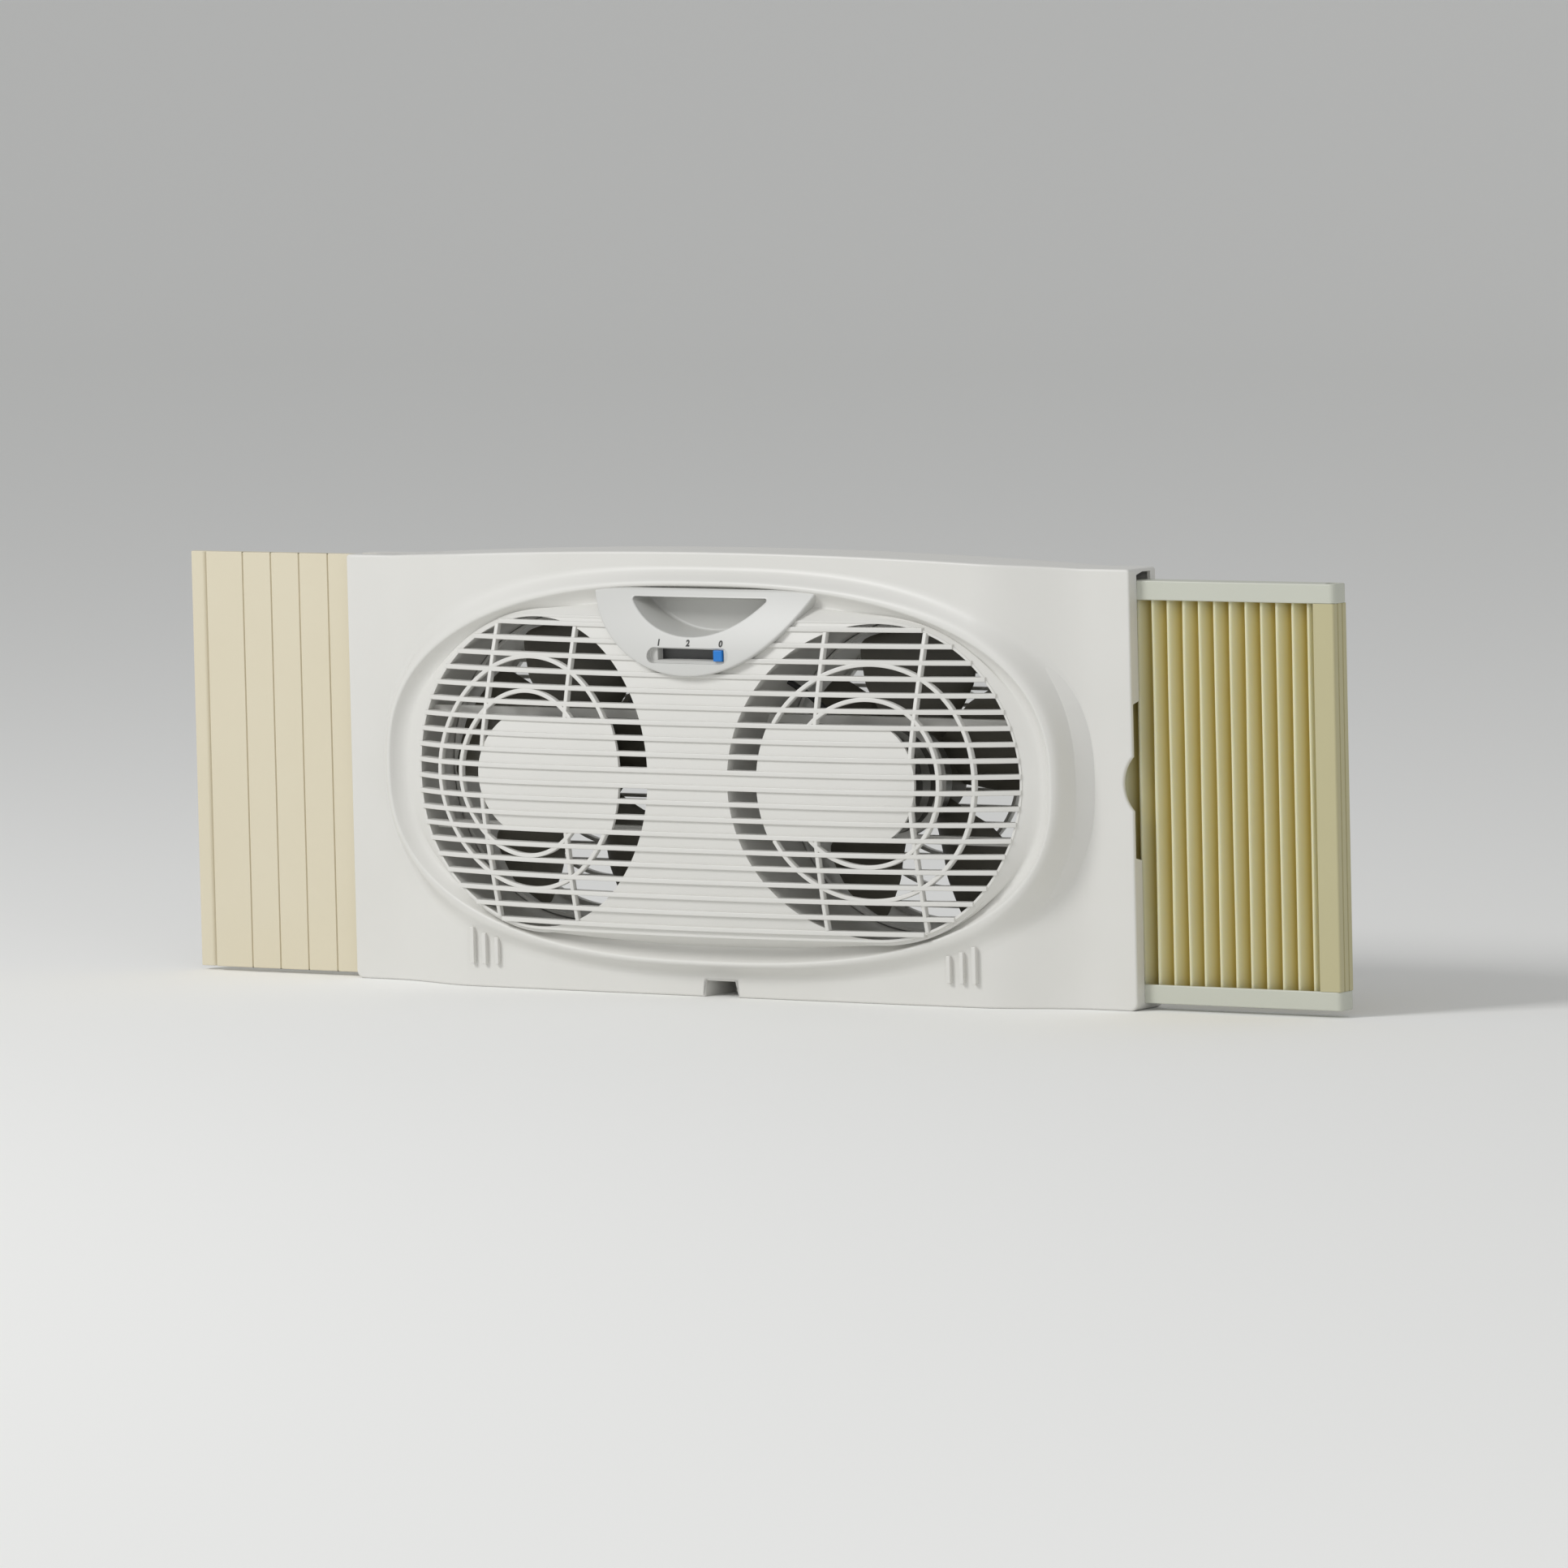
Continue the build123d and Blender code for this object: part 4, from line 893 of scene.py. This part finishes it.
def rear_rings():
    """Closed rings from the middle of the outer back, forwards along the outside, round the front edge, and
    back along the inside to the middle of the inner back."""
    eye = (0, FAN_Z)

    def box(inset):
        return rectangle((inset - REAR_HALF, REAR_HALF - inset), (REAR_Z[0] + inset, REAR_Z[1] - inset),
                         REAR_CORNER - inset, 8)

    flange = housing_outline(False)
    spread = np.unique(np.concatenate([bearing(flange, eye), bearing(box(0), eye)]))
    edge = in_directions(flange, eye, spread)
    x, z = edge.T
    front = np.zeros(len(edge))
    front[(x > WIDTH / 2 - 1) & (z > MOUTH_Z[0]) & (z < MOUTH_Z[1])] = MOUTH_DEPTH
    front[panel_mouth(edge)] = PANEL_DEPTH

    def ring(line, inset, depth):
        line = line - outward(line) * inset
        return np.stack([line[:, 0], np.broadcast_to(depth, len(line)), line[:, 1]], 1)

    def wall(inset, depth):
        return ring(in_directions(box(inset), eye, spread), 0, depth)

    rows = [wall(WALL, REAR_DEPTH - WALL), wall(WALL, FLANGE - WALL), ring(edge, WALL, FLANGE - WALL),
            ring(edge, WALL, front), ring(edge, 0, front), ring(edge, 0, FLANGE - EDGE_ROUND)]
    for angle in np.radians((30, 60, 90)):
        rows.append(ring(edge, EDGE_ROUND * (1 - np.cos(angle)), FLANGE - EDGE_ROUND * (1 - np.sin(angle))))
    rows += [wall(-1.5, FLANGE), wall(-0.4, FLANGE + 0.4), wall(0, FLANGE + 1.5)]
    for angle in np.radians((0, 22.5, 45, 67.5, 90)):
        rows.append(wall(REAR_ROUND * (1 - np.cos(angle)), REAR_DEPTH - REAR_ROUND * (1 - np.sin(angle))))
    rows.append(wall(REAR_CORNER - 2.0, REAR_DEPTH))
    return drawn_in(np.stack(rows[::-1]))


def turned(profile, place, steps=120):
    """Ring turned about a fan's axis: a closed profile of radius and depth, at a place."""
    turn = np.linspace(0, 2 * np.pi, steps + 1)[:-1, None]
    radius, depth = np.array(profile, float).T
    return wrapped(np.stack([place[0] + radius * np.cos(turn), np.broadcast_to(depth, (steps, len(depth))),
                             place[1] + radius * np.sin(turn)], 2))


def disc(place, radius, front, back, steps=96):
    """Closed round cutter along Y."""
    return pillow(circle(place, radius, steps), front, back, CUTTER_EDGE, (0, 2, 1), 1)


rear = piece("housing_rear", [rear_rings()], housing_plastic, "housing")
wells = [disc((x, z), SCREW_WELL[0], y - SCREW_WELL[1], y + 2, 32) for x, z, y in SCREW_PLACES]
ducts = [disc((side * FAN_X, FAN_Z), DUCT_RADII[1] - 0.05, *HOLE_CUT) for side in (-1, 1)]
cut(rear, wells + ducts + [disc(GLAND_HOLE, GLAND_RADIUS, *HOLE_CUT, 32)])
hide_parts("rear_shell")
duct_profile = ((DUCT_RADII[1], 0.0), (DUCT_RADII[0], 0.0), (DUCT_RADII[0], REAR_DEPTH - 0.6),
                (DUCT_RADII[0] + 0.6, REAR_DEPTH), (DUCT_RADII[1], REAR_DEPTH))
duct_walls = piece("duct_walls", [turned(duct_profile, (side * FAN_X, FAN_Z)) for side in (-1, 1)],
                   housing_plastic, "housing")


# === Fans ===
# Each fan is a shaded-pole motor on a two-armed bracket, with an impeller of dark moulded polypropylene:
# five broad leaf blades on a hollow hub, held on the ground steel shaft by a nut. A flat guard closes the
# duct behind it.
HUB_RADIUS = 30.0
HUB_Y = (-8.0, 18.0)
BORE = 4.05                    # radius of the hub's hole for the shaft
BLADE_COUNT = 5
BLADE_TIP = 105.0
BLADE_ROOT = 26.0
BLADE_Y = 5.0
BLADE_THICK = 2.2
BLADE_CAMBER = 2.5
BLADE_RADII = (24.0, 65.0, 107.0)      # distances from the axis, at which a blade is
BLADE_CHORDS = (34.0, 78.0, 92.0)      # so wide from edge to edge
BLADE_PITCHES = (35.0, 24.0, 17.0)     # and turned by so many degrees out of the wheel's plane


def blade(turn):
    """Leaf blade: sections at growing distance from the axis, each a shallow arc across its chord, thin at
    both edges, with the tip cut to a circle and round corners; turned about the axis by an angle."""
    reach = BLADE_ROOT + (BLADE_TIP - 0.4 - BLADE_ROOT) * np.sin(np.linspace(0, np.pi / 2, 26))[:, None]
    chord = np.interp(reach, BLADE_RADII, BLADE_CHORDS)
    pitch = np.radians(np.interp(reach, BLADE_RADII, BLADE_PITCHES))
    tip = np.sqrt(np.maximum(BLADE_TIP ** 2 - reach ** 2, 1.0))
    half = ((chord / 2 * np.cos(pitch)) ** -8 + tip ** -8) ** (-1 / 8)
    share = np.sin(np.linspace(-np.pi / 2, np.pi / 2, 25))[None]
    thick = BLADE_THICK / 2 * np.sqrt(np.clip(1.02 - share ** 4, 0, 1))
    along = half * share
    middle = BLADE_Y + along * np.tan(pitch) - BLADE_CAMBER * (1 - share ** 2)
    reach = np.broadcast_to(reach, along.shape)
    front, back = (np.stack([along, middle + side * thick, reach], 2) for side in (-1, 1))
    points, quads = drawn_in(np.concatenate([front, back[:, ::-1]], 1))
    c, s = np.cos(turn), np.sin(turn)
    return points @ np.array(((c, 0, -s), (0, 1, 0), (s, 0, c))), quads


def impeller(side):
    """Hub, hollow from behind round its sleeve, and its five blades."""
    front, back = HUB_Y
    hub = turned(((BORE, front), (27.0, front), (29.1, front + 0.9), (HUB_RADIUS, front + 3.0),
                  (HUB_RADIUS, back), (27.5, back), (27.5, front + 2.5), (8.0, front + 2.5), (8.0, back),
                  (BORE, back)), (side * FAN_X, FAN_Z))
    leaves = [blade(2 * np.pi * i / BLADE_COUNT) for i in range(BLADE_COUNT)]
    return [hub] + [(points + (side * FAN_X, 0, FAN_Z), quads) for points, quads in leaves]


# Polypropylene: a warm dark grey, painted lighter than its own as painted light for the dim inside of the
# ducts, with a waxy sheen along the leaves.
impeller_plastic_painted_light = moulded("dark_moulded_polypropylene_painted_light", "#5C594F", "#535047", 0.38, relief=0.015)
for side, name in ((-1, "left"), (1, "right")):
    wheel = piece(name + "_fan_wheel", impeller(side), impeller_plastic_painted_light, name + "_fan")
    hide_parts(name + "_impeller")


BAND = 6.2832                  # length of one band of the wave pattern at a scale of 1


def metal(name, colour, shade, roughness, period, bands=None):
    """Worked metal: its colour, gloss and a fine relief vary in grains, or in bands along an axis, of a real
    spacing in millimetres."""
    material = plain(name, {"Metallic": 1.0})
    if bands:
        tree = material.node_tree
        place = add(tree, "ShaderNodeTexCoord").outputs["Object"]
        settings = {"Vector": place, "Scale": 1000 / period / BAND, "Distortion": 0.4}
        mark = add(tree, "ShaderNodeTexWave", settings, bands_direction=bands).outputs["Fac"]
    else:
        mark = noise(material, period, 3.0)
    return pattern(material, mark, mark, colour, shade, roughness, 0.08, 0.4, 0.05)


# Laminations, windings and ground steel show as fine bands along the axis; cast, sintered and plated metal
# shows as a cloudy grain. The leads and the cord's gland are of soft black PVC.
lamination_steel = metal("stacked_lamination_steel", "#6E6D6A", "#55534F", 0.5, 1.0, "Y")
winding_copper = metal("enamelled_copper_wire", "#9C5A35", "#7C4326", 0.35, 1.2, "Y")
bell_aluminium = metal("die_cast_aluminium", "#B9B9B7", "#A9A9A6", 0.5, 1.5)
bearing_bronze = metal("sintered_bronze", "#9A7442", "#86643A", 0.5, 0.8)
shaft_steel = metal("ground_steel", "#B4B4B5", "#A2A2A4", 0.25, 0.6, "Y")
zinc_steel = metal("zinc_plated_steel", "#B2B4B6", "#9FA2A5", 0.35, 2.0)
lead_rubber = moulded("black_sleeve_PVC", "#232323", "#2A2A2A", 0.55)
for side in ("left_", "right_"):
    finish(housing_plastic, side + "rear_guard", side + "motor_bracket")
    finish(lead_rubber, side + "motor_lead")
    finish(lamination_steel, side + "stator")
    finish(winding_copper, side + "coils")
    finish(bell_aluminium, side + "front_bell", side + "rear_bell", side + "rotor")
    finish(bearing_bronze, side + "front_bearing", side + "rear_bearing")
    finish(shaft_steel, side + "shaft")
    finish(zinc_steel, side + "motor_bolts", side + "impeller_nut")
finish(zinc_steel, "shell_screws")
finish(lead_rubber, "cord_gland")


# === Right expander ===
# Two extruded PVC rails with round outer ends carry a grooved end post. A pleated vinyl sheet fills the
# frame;
# on the fan it folds up into the housing when the rails slide in, but here it rides with the housing as it
# stands. The top rail has a hole for a peg.
RAIL_X = (297.0, 497.0)
RAIL_Y = (-7.6, 10.4)
RAIL_Z = {"top": (288.0, 301.7), "bottom": (5.0, 18.3)}
RAIL_CORNER = 4.0
RAIL_EDGE = 0.9
RAIL_WALL = 2.0
GROOVE_Z = {"top": (286.0, 299.7), "bottom": (7.0, 21.0)}      # the cutters' lower and upper ends
GROOVE_END = 18.0              # from the rail's outer end
PEG_HOLE = (490.0, 1.4, 4.5)   # place and radius of the round hole in the top rail
POST_X = (480.0, 496.5)
POST_CORNER = 1.5
POST_GROOVE = (0.55, 1.5)      # half width and depth
PLEAT_COUNT = 16
PLEAT_PITCH = 12.7
PLEAT_X = (274.0, 480.0)
PLEAT_Y = (-4.8, 7.6)
PLEAT_Z = (13.0, 294.0)
PLEAT_THICK = 0.7


def channel(low, high):
    """Cutter for the groove along a rail."""
    outline = rectangle((RAIL_X[0] - 3, RAIL_X[1] - GROOVE_END),
                        (RAIL_Y[0] + RAIL_WALL, RAIL_Y[1] - RAIL_WALL), 0.3, 1)
    return pillow(outline, low, high, CUTTER_EDGE, steps=1)


def peg_hole():
    """Cutter for the round hole in the top rail, from inside its groove to above its top."""
    low, high = RAIL_Z["top"]
    return pillow(circle(PEG_HOLE[:2], PEG_HOLE[2], 40), low + 2, high + 3, CUTTER_EDGE, steps=1)


# Extruded PVC is satin and very even: greenish white rails, a cream panel and a deeper cream post.
rail_plastic = moulded("satin_extruded_PVC", "#CACCC0", "#C5C7BA", 0.38, grain=1.2, mottle=90.0)
cream_plastic = moulded("cream_extruded_PVC", "#DCD4BD", "#D8CFB6", 0.42, grain=1.2, mottle=90.0)
post_plastic = moulded("cream_extruded_PVC_post", "#C2BB94", "#BDB68E", 0.42, grain=1.2, mottle=90.0)
outline = rectangle(RAIL_X, RAIL_Y, RAIL_CORNER, 8)
for name in ("top", "bottom"):
    rail = piece(name + "_rail", [pillow(outline, *RAIL_Z[name], RAIL_EDGE)], rail_plastic, "expander")
    cut(rail, [channel(*GROOVE_Z[name])] + ([peg_hole()] if name == "top" else []))
    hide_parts("expander_" + name + "_rail")


def post_outline():
    """End post from above: square inside, round outer corners, and two rounded grooves in its side."""
    (inner, outer), (front, back), corner = POST_X, RAIL_Y, POST_CORNER
    third = (back - front) / 3
    y = np.linspace(front + corner, back - corner, 61)
    side = np.full(len(y), outer)
    for i in (1, 2):
        side -= POST_GROOVE[1] * np.exp(-((y - front - i * third) / POST_GROOVE[0]) ** 4)
    return np.concatenate([
        [(inner, front)], bend((outer - corner, front + corner), corner, -90, 0, 4), np.stack([side, y], 1),
        bend((outer - corner, back - corner), corner, 0, 90, 4)[1:], [(outer - corner, back), (inner, back)]])


post_form = pillow(post_outline(), RAIL_Z["bottom"][1], RAIL_Z["top"][0], 0.2)
post = piece("end_post", [post_form], post_plastic, "expander", 30.0)
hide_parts("expander_end_post")


def pleats():
    """Pleated sheet: a zigzag line with rounded folds, as thick as the vinyl, carried from the bottom to the
    top; each fold wanders a little on its way."""
    folds = PLEAT_X[1] - PLEAT_PITCH / 2 * np.arange(2 * PLEAT_COUNT, -1, -1)
    folds[0] = PLEAT_X[0]
    depth = np.where(np.arange(len(folds)) % 2, PLEAT_Y[0], PLEAT_Y[1])
    fold = np.stack([folds, depth], 1)
    before, after = fold[:-1], fold[1:]
    control = np.stack([before + (after - before) * s for s in (0.0, 0.38, 0.62)], 1).reshape(-1, 1, 2)
    line = rounded(np.concatenate([control, fold[-1:, None]]), 5)[:, 0]
    run = np.gradient(line, axis=0)
    normal = np.stack([run[:, 1], -run[:, 0]], 1) / np.hypot(*run.T)[:, None] * PLEAT_THICK / 2
    outline = np.concatenate([line + normal, (line - normal)[::-1]])
    z = np.linspace(*PLEAT_Z, 33)[:, None]
    number = (outline[:, 0] - PLEAT_X[0]) / PLEAT_PITCH
    free = np.sin(np.pi * np.clip((outline[:, 0] - PLEAT_X[0]) / (PLEAT_X[1] - PLEAT_X[0]), 0, 1)) ** 0.5
    wander = free * (0.2 * np.sin(z / 61 + number * 1.9) + 0.1 * np.sin(z / 23 + number * 4.1))
    x = outline[:, 0] + wander
    y = np.broadcast_to(outline[:, 1], x.shape)
    return drawn_in(np.stack([x, y, np.broadcast_to(z, x.shape)], 2))


# Thin cream vinyl, through which light passes from fold to fold. Painted shade: its colour turns from pale at
# the front folds to golden towards the back, in the pleats' valleys.
pleat_vinyl_painted_shade = moulded("soft_pleated_vinyl_painted_shade", "#E3DEBC", "#DED8B4", 0.5, grain=1.6, relief=0.04, mottle=120.0)
tree = pleat_vinyl_painted_shade.node_tree
skin = tree.nodes["Principled BSDF"]
place = add(tree, "ShaderNodeTexCoord").outputs["Object"]
# Painted shade: the colour is mixed towards golden with depth into the pleats, so the valleys are darkest.
depth = add(tree, "ShaderNodeSeparateXYZ", {"Vector": place}).outputs["Y"]
inward = add(tree, "ShaderNodeMapRange", {"Value": depth, "From Min": -0.004, "From Max": 0.005})
pale = skin.inputs["Base Color"].links[0].from_socket
painted_valley_shade = add(tree, "ShaderNodeMix", {0: inward.outputs["Result"], 6: pale, 7: linear("#BCAC66")},
             data_type="RGBA")
tree.links.new(painted_valley_shade.outputs[2], skin.inputs["Base Color"])
skin.inputs["Subsurface Weight"].default_value = 0.4
skin.inputs["Subsurface Radius"].default_value = (1.0, 0.8, 0.4)
skin.inputs["Subsurface Scale"].default_value = 0.003
sheet = piece("pleats", [pleats()], pleat_vinyl_painted_shade, "housing", 50.0)
sheet.modifiers.remove(sheet.modifiers["even_shading"])
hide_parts("pleated_sheet")
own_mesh(sheet)
finish(post_plastic, "clamp_strip")


# === Left filler panel ===
# A flat cream panel of extruded PVC with fine V-grooves, at which it can be cut to length, and an edge
# strip clipped to its end a little lower than its face. It slides out of the housing's left end.
PANEL_X = (-471.2, -322.0)
PANEL_Y = (-7.5, 0.5)
PANEL_Z = (3.0, 309.5)
PANEL_GROOVES = (-438.0, -412.5, -387.0, -361.0)
PANEL_GROOVE = (0.65, 1.5)     # half width and depth
PANEL_EDGE = 0.8
STRIP_X = (-486.0, -471.2)
STRIP_STEP = 1.5               # how far its face lies behind the panel's
STRIP_EDGE = 1.2
STRIP_COVE = (5.0, 5.6)        # width and depth of the hollow between the strip and the panel's edge


def panel_outline():
    """Panel from above, with V-grooves in its front and small round edges."""
    (left, right), (face, back), (half, deep) = PANEL_X, PANEL_Y, PANEL_GROOVE
    groove = ((-half - 0.5, 0), (-half, 0.05), (-0.15, deep), (0.15, deep), (half, 0.05), (half + 0.5, 0))
    front = [(x + dx, face + dy) for x in PANEL_GROOVES for dx, dy in groove]
    return np.array([(left + PANEL_EDGE, face), *front, (right, face), (right, back), (left, back),
                     (left, face + PANEL_EDGE), (left + 0.25, face + 0.25)])


def strip_outline():
    """Edge strip from above: a round outer edge, a flat, and a cove that falls away towards the panel."""
    (left, right), (wide, deep), back = STRIP_X, STRIP_COVE, PANEL_Y[1]
    face = PANEL_Y[0] + STRIP_STEP
    cove = [(right - wide * (1 - s), face + deep * s ** 2.2) for s in np.linspace(0, 1, 9)[1:]]
    return np.array([(left + STRIP_EDGE, face), (right - wide, face), *cove, (right, back), (left, back),
                     (left, face + STRIP_EDGE), (left + 0.35, face + 0.35)])


for name, outline, node in (("filler_panel", panel_outline(), "left_panel"),
                            ("filler_strip", strip_outline(), "left_panel_edge")):
    made = piece(name, [pillow(outline, *PANEL_Z, 0.6)], cream_plastic, "filler_panel", 30.0)
    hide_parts(node)


# === Stage and light ===
# A pale sweep behind and below the fan, a large soft lamp high on the left and a weak one on the right.
SWEEP_BACK = 11000.0           # how far it reaches backwards, forwards and to both sides
SWEEP_ROUND = 3000.0
SWEEP_TOP = 8000.0
LAMP_AIM = (0, 0, 0.15)


def sweep():
    """Floor that curves up into a wall: a straight run, a quarter circle and an upright."""
    turn = np.linspace(0, np.pi / 2, 24)
    y = np.concatenate([[-SWEEP_BACK], SWEEP_BACK - SWEEP_ROUND + SWEEP_ROUND * np.sin(turn), [SWEEP_BACK]])
    z = np.concatenate([[0], SWEEP_ROUND * (1 - np.cos(turn)), [SWEEP_TOP]])
    return np.stack([np.stack([np.full(len(y), x), y, z], 1) for x in (-SWEEP_BACK, SWEEP_BACK)])


grid = sweep()
backdrop = put("backdrop", bpy.data.meshes.new("backdrop"))
backdrop.data.from_pydata((grid.reshape(-1, 3) / 1000).tolist(), [], loops(*grid.shape[:2]).tolist())
backdrop.data.materials.append(plain("matt_backdrop_paint", {
    "Base Color": linear("#F6F6F4"), "Roughness": 0.9, "Specular IOR Level": 0.1}))
backdrop.data.shade_smooth()


def lamp(name, place, size, power):
    """Square area lamp at a place, in metres, that looks at the fan."""
    light = bpy.data.lights.new(name, "AREA")
    light.size = size
    light.energy = power
    made = put(name, light)
    made.location = place
    made.rotation_euler = (Vector(LAMP_AIM) - Vector(place)).to_track_quat("-Z", "Y").to_euler()


lamp("key_lamp", (-1.9, -3.4, 3.1), 1.6, 107.0)
lamp("fill_lamp", (3.2, -3.4, 1.6), 2.4, 20.0)
world = bpy.data.worlds.new("studio")
scene.world = world
world.use_nodes = True
world.node_tree.nodes["Background"].inputs["Color"].default_value = linear("#F4F5F6")
world.node_tree.nodes["Background"].inputs["Strength"].default_value = 0.5
scene.view_settings.view_transform = "Standard"
